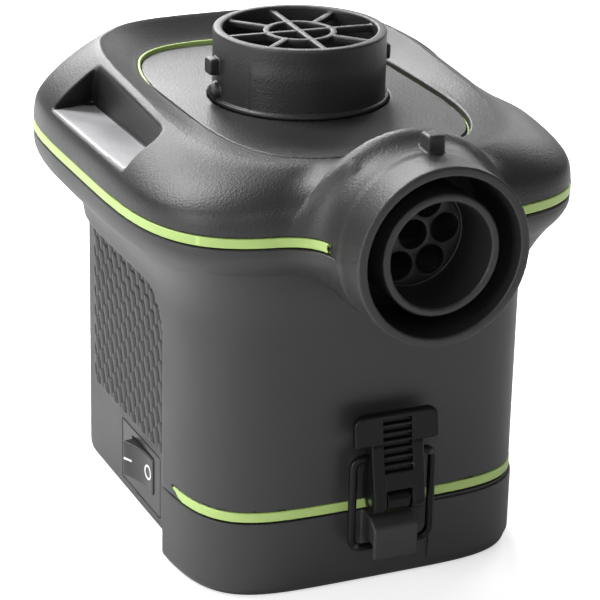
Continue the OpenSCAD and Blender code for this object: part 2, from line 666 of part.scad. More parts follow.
module battery_door() {
    color(smooth_dark) difference() {
        union() {
            difference() {
                loft([
                    flat_ring(tower_a - 2.6, tower_b - 2.6, 0, tower_n, 0),
                    flat_ring(tower_a - 1, tower_b - 1, 0, tower_n, 0.8),
                    flat_ring(tower_a, tower_b, 0, tower_n, 2.8),
                    flat_ring(tower_a, tower_b, 0, tower_n, seam_z)]);
                slab(-60, 60, panel_front - 0.4, 60, -1, 60);
                translate([0, 0, plate_h]) linear_extrude(60) intersection() {
                    polygon(squircle(tower_a - wall, tower_b - wall, 0, 4));
                    union() {
                        translate([-60, -60]) square([120, 60 + panel_front - 0.4 - wall]);
                        translate([-door_half, -60]) square([2 * door_half, 60]);
                    }
                }
            }
            // bottom plate, with rear corners short enough to clear the tower as it swings
            linear_extrude(plate_h) intersection() {
                compartment(-0.3);
                polygon(squircle(tower_a - wall, tower_b - wall - 3, 0, 4));
                translate([-60, panel_front - 1]) square([120, hinge_y - panel_front + 1]);
            }
            for (x = [-14.5, 14.5]) along_x([x, hinge_y, hinge_z], 20) cylinder(r = hinge_r, h = 20);
            for (x = [-14.5, 14.5]) slab(x - 10, x + 10, hinge_y - 4.2, hinge_y, plate_h - eps, hinge_z);
            // hook over the lower bar of the latch
            slab(latch_x - 6.3, latch_x + 6.3, -catch_y, -tower_b + 1, 10, seam_z);
        }
        along_x([0, hinge_y, hinge_z], 100) cylinder(r = hinge_pin_r + running, h = 100);
        slab(latch_x - 10, latch_x + 10, -catch_y + 1.4, -tower_b - 1.2, 5, bail_bar_z + bail_d / 2 + 0.45);
        // sloped top of the hook
        translate([latch_x - 10, -catch_y, seam_z - 1.8]) rotate([-35, 0, 0])
            translate([0, -10, 0]) cube([20, 13, 10]);
        // room for the hinge lugs of the housing
        slab(-hinge_lug_w / 2 - 0.5, hinge_lug_w / 2 + 0.5, hinge_y - hinge_r, 60, -1, 20);
        for (side = [0, 1]) mirror([side, 0, 0])
            slab(hinge_lug_x[2] - hinge_lug_w / 2 - 0.5, 60, hinge_y - hinge_r, 60, -1, 20);
    }
}
module door_contacts() {
    color(brass) for (k = [0, 2, 4, 6])
        contact_link(k, plate_h + 0.05, 0.5, plate_h + 0.5, cell_low - plate_h - 0.6);
}
module door_badge() {
    color(smooth_dark) intersection() {
        ring_extrude(squircle(tower_a + 0.7, tower_b + 0.7, 0, tower_n),
            squircle(tower_a + 0.03, tower_b + 0.03, 0, tower_n),
            3.4, seam_z - 0.8);
        slab(15, 60, -60, panel_front - 8, 0, 60);
    }
}
module door_hinge_pin() {
    color(steel) along_x([0, hinge_y, hinge_z], 2 * pin_half) cylinder(r = hinge_pin_r, h = 2 * pin_half);
}

// ---------------------------------------------------------------- latch
module latch_bracket() {
    color(black) difference() {
        union() {
            slab(latch_x - 6.4, latch_x + 6.4, -tower_b - 1.4, -tower_b - 0.05, bracket_low, 33);
            slab(latch_x - 3.2, latch_x + 3.2, lever_py, -tower_b - 1.3, bracket_low, lever_pz + 2.6);
            along_x([latch_x, lever_py, lever_pz], 6.4) cylinder(r = 2.7, h = 6.4);
        }
        slab(latch_x - 4, latch_x + 4, lever_py - 5, lever_py + 3, 20, bracket_low - eps);
        along_x([latch_x, lever_py, lever_pz], 20) cylinder(r = latch_pin_r + running, h = 20);
    }
}
module side_profile(x0, x1, points) {
    // outline drawn in the YZ plane, given its width along X
    translate([x0, 0, 0]) rotate([90, 0, 90]) linear_extrude(x1 - x0) polygon(points);
}
module latch_lever() {
    web_top = 42.9;
    tab_top = 51.4;
    color(black) difference() {
        union() {
            // front web of the stem and the broad thumb tab
            side_profile(latch_x - 7.3, latch_x + 7.3,
                [[-65.8, 29.6], [-64.9, 36], [-63.4, 43], [-60.6, 43], [-62.6, 36], [-63.4, 29.6]]);
            side_profile(latch_x - 12, latch_x + 12,
                [[-63.4, web_top - 0.2], [-62.8, 48.5], [-62.4, tab_top],
                    [-60.6, tab_top], [-60.2, web_top - 0.2]]);
            // side flanges with the ears
            for (side = [-1, 1]) {
                x = latch_x + side * 5.5;
                side_profile(x - 1.8, x + 1.8,
                    [[lever_py - ear_r, lever_pz], [-65.8, 29.6], [-64.9, 36], [-63.4, 43], [-60.4, 43],
                        [-58.9, 40.5], [-58.9, 33.6], [lever_py + ear_r, lever_pz]]);
                along_x([x, lever_py, lever_pz], 3.6) cylinder(r = ear_r, h = 3.6);
            }
        }
        along_x([latch_x, lever_py, lever_pz], 30) cylinder(r = latch_pin_r + running, h = 30);
        along_x([latch_x, bail_by, bail_bz], 30) cylinder(r = bail_d / 2 + running, h = 30);
        // finger grooves across the face
        for (k = [0 : 6]) translate([latch_x - 4, 0, 35.6 + 2.25 * k])
            side_groove(mix(-64.95, -62.5, k / 6));
        // rounded top corners of the tab
        for (side = [-1, 1]) translate([latch_x + side * 12, -70, tab_top]) rotate([-90, 0, 0])
            rotate(side > 0 ? 90 : 0) tab_corner(3);
    }
}
module side_groove(y) {
    translate([0, y - 1, 0]) cube([8, 1.9, 1.2]);
}
module tab_corner(r) {
    linear_extrude(20) difference() {
        translate([-1, -1]) square(r + 1);
        translate([r, r]) circle(r);
    }
}
module latch_pin() {
    color(steel) along_x([latch_x, lever_py, lever_pz], 14.4) cylinder(r = latch_pin_r, h = 14.4);
}
module wire_bend(r) {
    // quarter turn of the wire in the XZ plane, from +X to +Z about the origin
    rotate([90, 0, 0]) rotate_extrude(angle = 90) translate([r, 0]) circle(d = bail_d);
}
module latch_bail() {
    top_r = 2.4;
    low_r = 3.4;
    top_l = bail_half - top_r - 5.2;
    low_l = bail_half - low_r + eps;
    color(black) translate([latch_x, bail_by, 0]) for (side = [0, 1]) mirror([side, 0, 0]) {
        along_x([5.2, 0, bail_bz], top_l, false) cylinder(d = bail_d, h = top_l);
        translate([bail_half - top_r, 0, bail_bz - top_r]) wire_bend(top_r);
        translate([bail_half, 0, bail_bar_z + low_r])
            cylinder(d = bail_d, h = bail_bz - top_r - bail_bar_z - low_r);
        translate([bail_half - low_r, 0, bail_bar_z + low_r]) mirror([0, 0, 1]) wire_bend(low_r);
        along_x([-eps, 0, bail_bar_z], low_l, false) cylinder(d = bail_d, h = low_l);
    }
}

// ---------------------------------------------------------------- switch
module switch_body() {
    color(black) difference() {
        union() {
            slab(-panel_x + 0.15, -panel_x + 1.15, switch_yc - 14.7, switch_yc + 14.7,
                switch_zc - 8.95, switch_zc + 8.95);
            slab(-panel_x + 1, -27, switch_yc - 10, switch_yc + 10, switch_zc - 7.8, switch_zc + 7.8);
        }
        // well for the rocker, with room for its swing
        slab(-60, -33.5, rocker_yc - rocker_l / 2 - 0.8, rocker_yc + rocker_l / 2 + 0.8,
            rocker_zc - rocker_h / 2 - 0.25, rocker_zc + rocker_h / 2 + 0.25);
        translate([rocker_px, rocker_yc, rocker_zc - rocker_h / 2 - 1.4])
            cylinder(r = rocker_pin_r + running, h = rocker_h + 2.8);
    }
}
module switch_rocker() {
    reach = rocker_l / 2;
    face = 3.8;                     // distance from the pivot to the middle of the face
    hollow_r = 25.2;
    color(black) translate([rocker_px, rocker_yc, rocker_zc - rocker_h / 2]) rotate(rocker_tilt) {
        linear_extrude(rocker_h) difference() {
            polygon([[-face - 0.9, -reach], [-face - 0.9, reach], [2, reach - 1.5],
                [3.6, 2], [3.6, -2], [2, -reach + 1.5]]);
            translate([-face - hollow_r, 0]) circle(hollow_r, $fn = 160);
        }
        translate([0, 0, -1.1]) cylinder(r = rocker_pin_r, h = rocker_h + 2.2);
    }
}
module switch_terminals() {
    color(brass) for (y = [1.5, 11.5]) slab(-26.95, -19.5, y - 2.2, y + 2.2, 11.3, 12.1);
}
module wire(points, r = 0.9) {
    for (k = [0 : len(points) - 2]) {
        d = points[k + 1] - points[k];
        l = norm(d);
        translate(points[k]) rotate([0, acos(d[2] / l), atan2(d[1], d[0])])
            cylinder(r = r, h = l, $fn = 24);
        if (k > 0) translate(points[k]) sphere(r * 1.25, $fn = 24);
    }
}
module wire_red() {
    // battery to switch, then switch to motor
    color([0.7, 0.1, 0.1]) {
        wire([[-23.5, 1.5, 13.05], [-24, 0.5, 26], [-25, -1.5, 52], [-26.5, -20.4, 56]]);
        wire([[-23.5, 11.5, 13.05], [-24.2, 11, 22], [-30, 8, 29], [-30.2, 5, 55], [-29, 4.5, 60.8],
            [-9, 0, 61]]);
    }
}
module wire_black() {
    color([0.1, 0.1, 0.1]) wire([[-18, 24, 58.6], [-18, 24, 60.8], [0, 16.5, 60.8], [9, 0, 60.8]]);
}

top_cover();
intake_port();
label_plate();
label_trim();
outlet_tube();
outlet_guard();
head_trim();
main_housing();
lower_trim();
left_grip_pad();
right_grip_pad();
fan_housing();
fan_cover();
fan_screws();
impeller();
motor_can();
motor_end_cap();
motor_magnets();
motor_bushes();
motor_brushes();
motor_shaft();
motor_armature();
motor_commutator();
motor_screws();
battery_frame();
battery_cells();
upper_contacts();
housing_screws();
battery_door();
door_contacts();
door_badge();
door_hinge_pin();
latch_bracket();
latch_lever();
latch_pin();
latch_bail();
switch_body();
switch_rocker();
switch_terminals();
wire_red();
wire_black();
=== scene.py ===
import json
import math
import bpy
import numpy as np
from mathutils import Matrix, Vector


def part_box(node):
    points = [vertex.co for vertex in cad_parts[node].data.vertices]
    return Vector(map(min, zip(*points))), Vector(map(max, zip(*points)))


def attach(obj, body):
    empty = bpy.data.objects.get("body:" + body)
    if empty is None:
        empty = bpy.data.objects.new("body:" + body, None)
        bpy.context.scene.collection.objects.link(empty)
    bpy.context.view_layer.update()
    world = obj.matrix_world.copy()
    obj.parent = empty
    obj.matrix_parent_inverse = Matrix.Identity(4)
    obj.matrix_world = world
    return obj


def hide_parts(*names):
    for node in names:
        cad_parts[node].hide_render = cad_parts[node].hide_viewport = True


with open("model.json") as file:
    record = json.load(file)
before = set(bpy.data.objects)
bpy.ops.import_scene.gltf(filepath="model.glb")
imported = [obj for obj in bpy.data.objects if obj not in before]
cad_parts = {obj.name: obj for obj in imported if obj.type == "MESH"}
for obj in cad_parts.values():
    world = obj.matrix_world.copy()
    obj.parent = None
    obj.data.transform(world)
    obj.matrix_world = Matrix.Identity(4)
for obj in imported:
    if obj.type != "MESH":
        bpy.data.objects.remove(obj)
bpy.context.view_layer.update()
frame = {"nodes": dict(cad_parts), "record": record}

MM = 0.001


# ---------------------------------------- sizes, in mm

def mm_box(node):
    """Lowest and highest corner of a CAD node, in mm."""
    low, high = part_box(node)
    return np.array(low) / MM, np.array(high) / MM


TRIM_LOW, TRIM_HIGH = mm_box("head_trim")
COVER_LOW = mm_box("top_cover")[0]
RIM_Z = mm_box("intake_port")[1][2]      # top of the intake collar
LABEL_Z = mm_box("label_plate")[1][2]    # top of the plate inside the dish

HEAD_A = TRIM_HIGH[0]            # half width of the head
HEAD_B = 68.5                    # half depth of the head
HEAD_YC = TRIM_HIGH[1] - HEAD_B  # how far the head sits back from the intake
HEAD_N = 4.2                     # squareness of the head
CORNER_REACH = 108.3             # |x| + y where facets cut the rear corners of the head
RIDGE_REACH = 89.0               # the same at the rim of the dish
TOWER_REACH = 95.0               # and at the tower
TOWER_N = 5.0                    # squareness of the tower
RIDGE_A = 43.9                   # half width and half depth of the rim of the dish
RIDGE_B = 59.4
RIDGE_YC = 4.4
RIDGE_N = 3.4                    # squareness of the rim and of the plate
LABEL_A = 34.5                   # half width and half depth of the plate
LABEL_B = 52.7
LABEL_T = 1.3                    # thickness of the plate
TRIM_W = 0.8                     # width of the ring round the plate
RIDGE_FRONT_Z = LABEL_Z + 0.4    # height of the rim in front
RIDGE_RISE = 5.8                 # and how much higher it stands at the back
DISH_Z = LABEL_Z + 0.7           # height of the dish beside the plate
BAND_LOW = TRIM_LOW[2]
BAND_HIGH = TRIM_HIGH[2]
AXIS_Z = (BAND_LOW + BAND_HIGH) / 2   # height of the outlet axis
PORT_R = 23.0                    # outer radius of both collars
PORT_IN = PORT_R - 2.5           # and inner radius
REACH = -COVER_LOW[1]            # distance of the outlet rim from the intake axis
COLLAR_BACK = 54.0               # rear end of the outlet collar
WALL = 2.0                       # thickness of the mouldings

LIP_Z = 92.0                     # crease under the rounded lip of the head
LIP_TOP = BAND_LOW - 2.0
LIP_INSET = 3.6                  # how far the crease stands inside the head's outline
LIP_SLACK = 0.1                  # the lip starts this far inside it under the band
FLARE_Z = 74.0                   # the tower starts to flare here
FLARE_POWER = 2.2                # how late the flare spreads
TOWER_A = 48.3                   # half width and half depth of the tower
TOWER_B = 56.7
PANEL_X = 42.4                   # flat side panels
PANEL_FRONT = -24.5
PANEL_TOP = 75.5
PANEL_R = 13.0                   # radius of their upper front corner
SEAM_Z = 21.4                    # seam above the door's front lip
FOOT_R = 2.8                     # rounding of the bottom edge
SKIN_GAP = 0.12                  # half the gap between two mouldings


# ---------------------------------------- surfaces from distance fields

def smax(a, b, k):
    """Larger of two fields, with the edge rounded over about k mm."""
    h = np.clip(0.5 + 0.5 * (a - b) / k, 0.0, 1.0)
    return b + (a - b) * h + k * h * (1.0 - h)


def smin(a, b, k):
    """Smaller of two fields, with the corner filled over about k mm."""
    return -smax(-a, -b, k)


def smooth(t):
    """Step from 0 to 1 without corners."""
    t = np.clip(t, 0.0, 1.0)
    return t * t * (3.0 - 2.0 * t)


def mix(a, b, t):
    """Value a share t of the way from a to b."""
    return a + (b - a) * t


def squircle(x, y, a, b, yc, n):
    """Distance outside a rounded rectangle with half sizes a and b, squarer as n grows."""
    u = np.abs(x) / a
    v = np.abs(y - yc) / b
    r = np.maximum(u ** n + v ** n, 1e-9) ** (1.0 / n)
    slope = np.hypot(u ** (n - 1) / a, v ** (n - 1) / b) * r ** (1 - n)
    return (r - 1.0) / np.maximum(slope, 1e-4)


def facet(x, y, plan, reach):
    """Cuts the two rear corners of an outline with slanted, softly blended facets."""
    return smax(plan, (np.abs(x) + y - reach) * math.sqrt(0.5), 2.5)


def box_field(x, y, z, low, high, k=0.4):
    """Box with slightly rounded edges."""
    dx = np.maximum(low[0] - x, x - high[0])
    dy = np.maximum(low[1] - y, y - high[1])
    dz = np.maximum(low[2] - z, z - high[2])
    return smax(smax(dx, dy, k), dz, k)


def gradient(field, points, h=0.03):
    """Slope of a field along each axis, from points h mm ahead and behind."""
    out = np.empty_like(points)
    for axis in range(3):
        step = np.zeros(3)
        step[axis] = h
        ahead = field(*(points + step).T)
        behind = field(*(points - step).T)
        out[:, axis] = (ahead - behind) / (2 * h)
    return out


def grid_values(field, low, high, cell, coarse=4):
    """Field on a grid, worked out in full only near the surface."""
    low = np.array(low, float) - 1.5 * cell
    count = np.ceil((np.array(high) + 1.5 * cell - low) / (cell * coarse)).astype(int)
    centres = [low[i] + (np.arange(count[i]) + 0.5) * cell * coarse for i in range(3)]
    mesh = np.meshgrid(*centres, indexing="ij")
    rough = field(*[m.ravel() for m in mesh]).reshape(count)
    near = np.abs(rough) < cell * coarse * 1.4
    fine = rough
    mask = near
    for axis in range(3):
        fine = np.repeat(fine, coarse, axis)
        mask = np.repeat(mask, coarse, axis)
    fine = np.pad(fine, ((0, 1),) * 3, mode="edge")
    wide = np.zeros(fine.shape, bool)
    size = mask.shape
    for dx in (0, 1):
        for dy in (0, 1):
            for dz in (0, 1):
                wide[dx:dx + size[0], dy:dy + size[1], dz:dz + size[2]] |= mask
    where = np.nonzero(wide)
    points = [low[i] + where[i] * cell for i in range(3)]
    fine[where] = field(*points)
    return low, fine


def surface_nets(low, values, cell):
    """Quads of the zero surface of a grid, one vertex in every cell that it crosses."""
    inside = values < 0
    shape = np.array(values.shape) - 1
    corners = [(i, j, k) for i in (0, 1) for j in (0, 1) for k in (0, 1)]
    total = np.zeros(shape, np.int8)
    for c in corners:
        total += inside[c[0]:c[0] + shape[0], c[1]:c[1] + shape[1], c[2]:c[2] + shape[2]]
    cells = np.argwhere((total > 0) & (total < 8))
    index = np.full(shape, -1, np.int64)
    index[tuple(cells.T)] = np.arange(len(cells))
    found = np.zeros((len(cells), 3))
    count = np.zeros(len(cells))
    for a in corners:
        for axis in range(3):
            if a[axis]:
                continue
            b = list(a)
            b[axis] = 1
            va = values[tuple((cells + a).T)]
            vb = values[tuple((cells + b).T)]
            cross = (va < 0) != (vb < 0)
            t = np.where(cross, va / np.where(cross, va - vb, 1.0), 0.0)
            found[cross] += a
            found[cross, axis] += t[cross]
            count += cross
    points = low + (cells + found / count[:, None]) * cell
    quads = []
    for axis in range(3):
        b, c = (axis + 1) % 3, (axis + 2) % 3
        ahead = np.roll(inside, -1, axis)
        change = inside != ahead
        change[tuple(slice(None) if i != axis else -1 for i in range(3))] = False
        edges = np.argwhere(change)
        keep = (edges[:, b] > 0) & (edges[:, c] > 0)
        keep &= (edges[:, b] < shape[b]) & (edges[:, c] < shape[c])
        edges = edges[keep]
        ring = []
        for db, dc in ((-1, -1), (0, -1), (0, 0), (-1, 0)):
            at = edges.copy()
            at[:, b] += db
            at[:, c] += dc
            ring.append(index[tuple(at.T)])
        ring = np.stack(ring, 1)
        out = inside[tuple(edges.T)]
        quads.append(np.where(out[:, None], ring, ring[:, ::-1]))
    return points, np.concatenate(quads)


def new_mesh(name, points, faces, normals=None):
    """Mesh object from points in mm and an array of equal-sized faces."""
    mesh = bpy.data.meshes.new(name)
    sides = faces.shape[1]
    mesh.vertices.add(len(points))
    mesh.vertices.foreach_set("co", (points * MM).astype(np.float32).ravel())
    mesh.loops.add(faces.size)
    mesh.loops.foreach_set("vertex_index", faces.astype(np.int32).ravel())
    mesh.polygons.add(len(faces))
    mesh.polygons.foreach_set("loop_start", np.arange(0, faces.size, sides, dtype=np.int32))
    mesh.polygons.foreach_set("use_smooth", np.ones(len(faces), bool))
    mesh.update(calc_edges=True)
    mesh.validate()
    if normals is not None:
        mesh.normals_split_custom_set_from_vertices([tuple(n) for n in normals])
    piece = bpy.data.objects.new(name, mesh)
    bpy.context.scene.collection.objects.link(piece)
    return piece


def moulded(name, field, low, high, cell, steps=4):
    """Closed mesh of field = 0, with its vertices and normals taken from the field."""
    points, quads = surface_nets(*grid_values(field, low, high, cell), cell)
    value = field(*points.T)
    for step in range(steps):
        slope = gradient(field, points)
        size = np.maximum((slope ** 2).sum(1), 0.05)
        shift = np.clip(value / size, -0.6 * cell, 0.6 * cell)
        moved = points - slope * shift[:, None]
        after = field(*moved.T)
        better = np.abs(after) < np.abs(value)
        points[better] = moved[better]
        value[better] = after[better]
    slope = gradient(field, points)
    length = np.maximum(np.linalg.norm(slope, axis=1), 1e-6)
    return new_mesh(name, points, quads, slope / length[:, None])


# ---------------------------------------- head

def ridge_z(y):
    """Height of the rim of the dish, which climbs towards the back."""
    return RIDGE_FRONT_Z + RIDGE_RISE * smooth((y + 57.0) / 104.0)


def ring_ratio(x, y, u):
    """1 on the section of the head a share u of the way from its outline to the ridge, more outside."""
    a = mix(HEAD_A, RIDGE_A, u)
    b = mix(HEAD_B, RIDGE_B, u)
    yc = mix(HEAD_YC, RIDGE_YC, u)
    n = mix(HEAD_N, RIDGE_N, u)
    ratio = np.maximum((np.abs(x) / a) ** n + (np.abs(y - yc) / b) ** n, 1e-9) ** (1.0 / n)
    corner = (np.abs(x) + y) / mix(CORNER_REACH, RIDGE_REACH, u)
    return smax(ratio, corner, 0.035)


def dish_ratio(x, y, w):
    """The same for a section of the dish a share w of the way from the ridge to the plate."""
    a = mix(RIDGE_A, LABEL_A + TRIM_W, w)
    b = mix(RIDGE_B, LABEL_B + TRIM_W, w)
    yc = mix(RIDGE_YC, 0.0, w)
    total = (np.abs(x) / a) ** RIDGE_N + (np.abs(y - yc) / b) ** RIDGE_N
    return np.maximum(total, 1e-9) ** (1.0 / RIDGE_N)


def share(ratio, x, y):
    """Where a point lies between the first and the last of a family of rings."""
    first = ratio(x, y, 0.0)
    last = ratio(x, y, 1.0)
    u = (1.0 - first) / np.maximum(last - first, 1e-6)
    for step in range(3):
        u = np.clip(u, -0.2, 1.2)
        here = ratio(x, y, u)
        slope = (ratio(x, y, u + 0.01) - here) / 0.01
        u = u + (1.0 - here) / np.maximum(slope, 1e-3)
    return u


SHOULDER_START = 0.17            # the side rises this share of the way before it rounds over
SHOULDER_Q = 0.6                 # how suddenly it rounds over
CREST_FRONT = 1.45               # how flat the shoulder runs into the ridge in front
CREST_BACK = 1.08                # and at the back
CREST_ROUND = 1.1                # rounding of the ridge, in mm
DISH_POWER = 1.3                 # how hollow the side of the dish is


def head_top(x, y, z):
    """Field of the upper surface of the head: shoulder, ridge and dish."""
    u = np.clip(share(ring_ratio, x, y), 0.004, 1.0)
    back = 1.0 - u
    power = mix(CREST_FRONT, CREST_BACK, smooth((y + 35.0) / 55.0))
    climb = 1.0 - back ** power
    rise = mix(SHOULDER_START, 1.0, climb ** SHOULDER_Q)
    steep = (1 - SHOULDER_START) * SHOULDER_Q * climb ** (SHOULDER_Q - 1) * power * back ** (power - 1)
    ridge = ridge_z(y)
    outer = mix(BAND_HIGH, ridge, rise)
    # the height is divided by the steepness, so that the field stays close to a distance
    width = squircle(x, y, RIDGE_A, RIDGE_B, RIDGE_YC, RIDGE_N) - head_plan(x, y)
    slope = (ridge - BAND_HIGH) * steep / np.maximum(width, 6.0)
    w = np.clip(share(dish_ratio, x, y), 0.0, 1.0)
    inner = DISH_Z + (ridge - DISH_Z) * (1.0 - w) ** DISH_POWER
    slope = np.where(dish_ratio(x, y, 0.0) < 1.0, 0.5, slope)
    return (z - smin(outer, inner, CREST_ROUND)) / np.sqrt(1.0 + slope ** 2)


POCKET_X = 45.4                  # inner wall of the finger pockets
POCKET_FRONT = -25.0
POCKET_BACK = 33.0
POCKET_Z = 109.3
POCKET_CLIMB = 0.13              # the floor climbs outwards
POCKET_CORNER = 7.0              # radius of the front inner corner


def pocket(x, y, z):
    """Inside of the finger pockets on both shoulders."""
    side = np.abs(x)
    wall = (POCKET_X - side) + 0.10 * (z - 112.0)
    front = POCKET_FRONT - y + 0.25 * (z - POCKET_Z)
    back = (y - POCKET_BACK + 0.55 * (z - POCKET_Z) + 0.45 * (side - 52.0)) / 1.23
    plan = smax(smax(wall, front, POCKET_CORNER), back, 2.0)
    floor = POCKET_Z + POCKET_CLIMB * (side - POCKET_X) - z
    return smax(plan, floor, 1.2)


NECK_STEP = 0.35                 # the collar is thicker behind its clear length
OUTLET_CLEAR = 9.7
DOME_L = 9.8                     # the rear of the collar closes with a dome


def collar_r(x, z):
    """Distance from the axis of the outlet."""
    return np.hypot(x, z - AXIS_Z)


def collar(x, y, z):
    """Outlet collar without its bore, closed by a dome at the rear."""
    r = collar_r(x, z)
    side = r - PORT_R - NECK_STEP * smooth((y + REACH - OUTLET_CLEAR) / 2.5)
    tube = smax(side, -REACH - y, 0.8)
    dome_start = -COLLAR_BACK - DOME_L
    along = np.maximum((y - dome_start) / DOME_L, 0.0)
    neck = PORT_R + NECK_STEP
    dome = (np.sqrt(along ** 2 + (r / neck) ** 2) - 1.0) * neck
    return np.where(y > dome_start, dome, tube)


COLLAR_BLEND = 11.0              # size of the fillet between the head and the collar


def head_plan(x, y):
    """Distance outside the head's outline."""
    return facet(x, y, squircle(x, y, HEAD_A, HEAD_B, HEAD_YC, HEAD_N), CORNER_REACH)


def lip_inset(y, z):
    """How far the wall under the band stands inside the head's outline."""
    s = np.clip((LIP_TOP - z) / (LIP_TOP - LIP_Z), 0.0, 1.0)
    crisp = LIP_INSET * (1.0 - np.sqrt(np.maximum(1.0 - s ** 2, 0.0)))
    soft = LIP_INSET * s ** 1.6
    return mix(soft, crisp, smooth((y + 48.0) / 36.0)) + LIP_SLACK


def tower_outer(x, y, z):
    """Lip, flare and tower as one body."""
    k = np.clip((z - FLARE_Z) / (LIP_Z - FLARE_Z), 0.0, 1.0) ** FLARE_POWER
    inset = lip_inset(y, z)
    crease = LIP_INSET + LIP_SLACK
    lip = z >= LIP_Z
    a = np.where(lip, HEAD_A - inset, mix(TOWER_A, HEAD_A - crease, k))
    b = np.where(lip, HEAD_B - inset, mix(TOWER_B, HEAD_B - crease, k))
    yc = np.where(lip, HEAD_YC, mix(0.0, HEAD_YC, k))
    n = np.where(lip, HEAD_N, mix(TOWER_N, HEAD_N, k))
    lip_reach = CORNER_REACH - 1.5 * np.where(lip, inset, crease)
    reach = np.where(lip, lip_reach, mix(TOWER_REACH, lip_reach, k))
    plan = facet(x, y, squircle(x, y, a, b, yc, n), reach)
    return plan * np.where(z > FLARE_Z, 0.8, 1.0)


SHOULDER_EDGE = 1.6              # rounding between the head's side and its shoulder
POST_R = 3.4                     # screw posts under the cover
POST_LOW = 61.9
COVER_POSTS = ((37.0, -41.0), (-37.0, -41.0), (13.4, 47.5), (-13.4, 47.5))
LUG_SIZE = 4.3                   # bayonet lugs on the intake collar
LUG_REACH = 2.9
OUTLET_LUG_X = (-0.6, 4.2)       # lug on the outlet collar
OUTLET_LUG_Y = (-77.8, -72.8)
BUMP_TURN = 41                   # round bumps this many degrees to both sides of the collar's top
BUMP_Y = -68.5
BUMP_R = 2.3


def cover_field(x, y, z):
    """Upper moulding of the head with the outlet collar, the pockets and the screw posts."""
    plan = head_plan(x, y)
    top = head_top(x, y, z)
    cut = pocket(x, y, z)
    tube = collar(x, y, z)
    outer = smin(smax(plan, top, SHOULDER_EDGE), tube, COLLAR_BLEND)
    kept = np.minimum(smax(outer, BAND_HIGH + SKIN_GAP - z, 0.3), tube)
    lug_z = AXIS_Z + PORT_R
    lug_low = (OUTLET_LUG_X[0], OUTLET_LUG_Y[0], lug_z - 1)
    lug_high = (OUTLET_LUG_X[1], OUTLET_LUG_Y[1], lug_z + LUG_REACH + 1.5)
    kept = smin(kept, box_field(x, y, z, lug_low, lug_high, 0.9), 0.5)
    for side in (-1, 1):
        angle = math.radians(90 + side * BUMP_TURN)
        bump_x = x - PORT_R * math.cos(angle)
        bump_z = z - AXIS_Z - PORT_R * math.sin(angle)
        bump = np.sqrt(bump_x ** 2 + (y - BUMP_Y) ** 2 + bump_z ** 2) - BUMP_R
        kept = smin(kept, bump, 1.2)
    hollow = np.maximum(plan + WALL + 0.2, top + WALL)
    hollow = np.maximum(np.maximum(hollow, WALL - cut), -tube)
    shell = np.maximum(kept, -hollow)
    for post_x, post_y in COVER_POSTS:
        post = np.maximum(np.hypot(x - post_x, y - post_y) - POST_R, POST_LOW - z)
        shell = np.minimum(shell, np.maximum(post, top + 1.0))
    shell = smax(shell, -cut, 1.1)
    edge = squircle(x, y, LABEL_A + TRIM_W, LABEL_B + TRIM_W, 0.0, RIDGE_N)
    shell = smax(shell, -np.maximum(edge, LABEL_Z - LABEL_T - 0.1 - z), 0.5)
    shell = smax(shell, PORT_R + 0.2 - np.hypot(x, y), 0.2)
    bore = np.maximum(collar_r(x, z) - PORT_IN, y + COLLAR_BACK - 2.0)
    return smax(shell, -bore, 0.7)


def band_field(x, y, z):
    """Coloured band round the head, running out along the fillet of the collar."""
    plan = head_plan(x, y)
    tube = collar(x, y, z)
    ring = np.maximum(smin(plan, tube, COLLAR_BLEND), -(plan + 4.0))
    ring = smax(ring, np.abs(z - AXIS_Z) - (BAND_HIGH - BAND_LOW) / 2 + 0.05, 0.25)
    return np.maximum(ring, 0.15 - tube)


# ---------------------------------------- tower

LIP_GAP = 0.35                   # dark line under the band
FILLET_OVERLAP = 1.2             # how far the housing's fillet runs into the wall of the collar
STRIP_Z = SEAM_Z + 0.5           # lower band on the tower's front
STRIP_H = 2.6
STRIP_BACK = -30.1
STRIP_DEPTH = 1.1                # depth of the slot for it
LEDGE_Z = 60.7                   # ledge that the battery frame is pulled against
CELL_HALF = PANEL_X - WALL - 0.1  # half width of the space for the cells
CELL_TOP = 78.0                  # and its roof
CELL_FRONT = -26.5               # in front of this the space is as wide as the tower
HINGE_Y = 49.0                   # hinge of the door
HINGE_Z = 4.5
HINGE_R = 4.5
LUG_X = 29.0                     # hinge lugs in the middle and this far to both sides
LUG_HALF = 3.5
LUG_SLACK = 0.5                  # room beside them in the door
SWITCH_Y = 6.5                   # middle of the switch
SWITCH_Z = 11.75
BEZEL_Y = 14.7                   # half sizes of its bezel
BEZEL_Z = 8.95
BEZEL_BACK = -41.2               # rear face of the bezel


def panel_cut(x, y, z, face, front, top, r):
    """Space outside a flat side panel with a rounded upper front corner."""
    ahead = front - y + r
    above = z - top + r
    corner = np.hypot(np.maximum(ahead, 0), np.maximum(above, 0))
    corner = corner + np.minimum(np.maximum(ahead, above), 0) - r
    return np.maximum(face - np.abs(x), corner)


def strip_slot(y, z, grow):
    """Height range of the lower band, which tapers to a point at both ends."""
    low = STRIP_Z + STRIP_H * (1.0 - smooth((STRIP_BACK - y) / 7.0))
    across = np.maximum(low - z, z - STRIP_Z - STRIP_H) - grow
    return np.maximum(across, y - STRIP_BACK - grow)


def switch_opening(x, y, z):
    """Seat of the switch's bezel in the left side and the hole behind it, as two boxes."""
    seat_low = (-60, SWITCH_Y - BEZEL_Y - 0.4, SWITCH_Z - BEZEL_Z - 0.02)
    seat_high = (BEZEL_BACK, SWITCH_Y + BEZEL_Y + 0.02, SWITCH_Z + BEZEL_Z + 0.02)
    hole_low = (-60, SWITCH_Y - 10.2, SWITCH_Z - 8)
    hole_high = (-30, SWITCH_Y + 10.2, SWITCH_Z + 8)
    seat = box_field(x, y, z, seat_low, seat_high, 0.1)
    return seat, box_field(x, y, z, hole_low, hole_high)


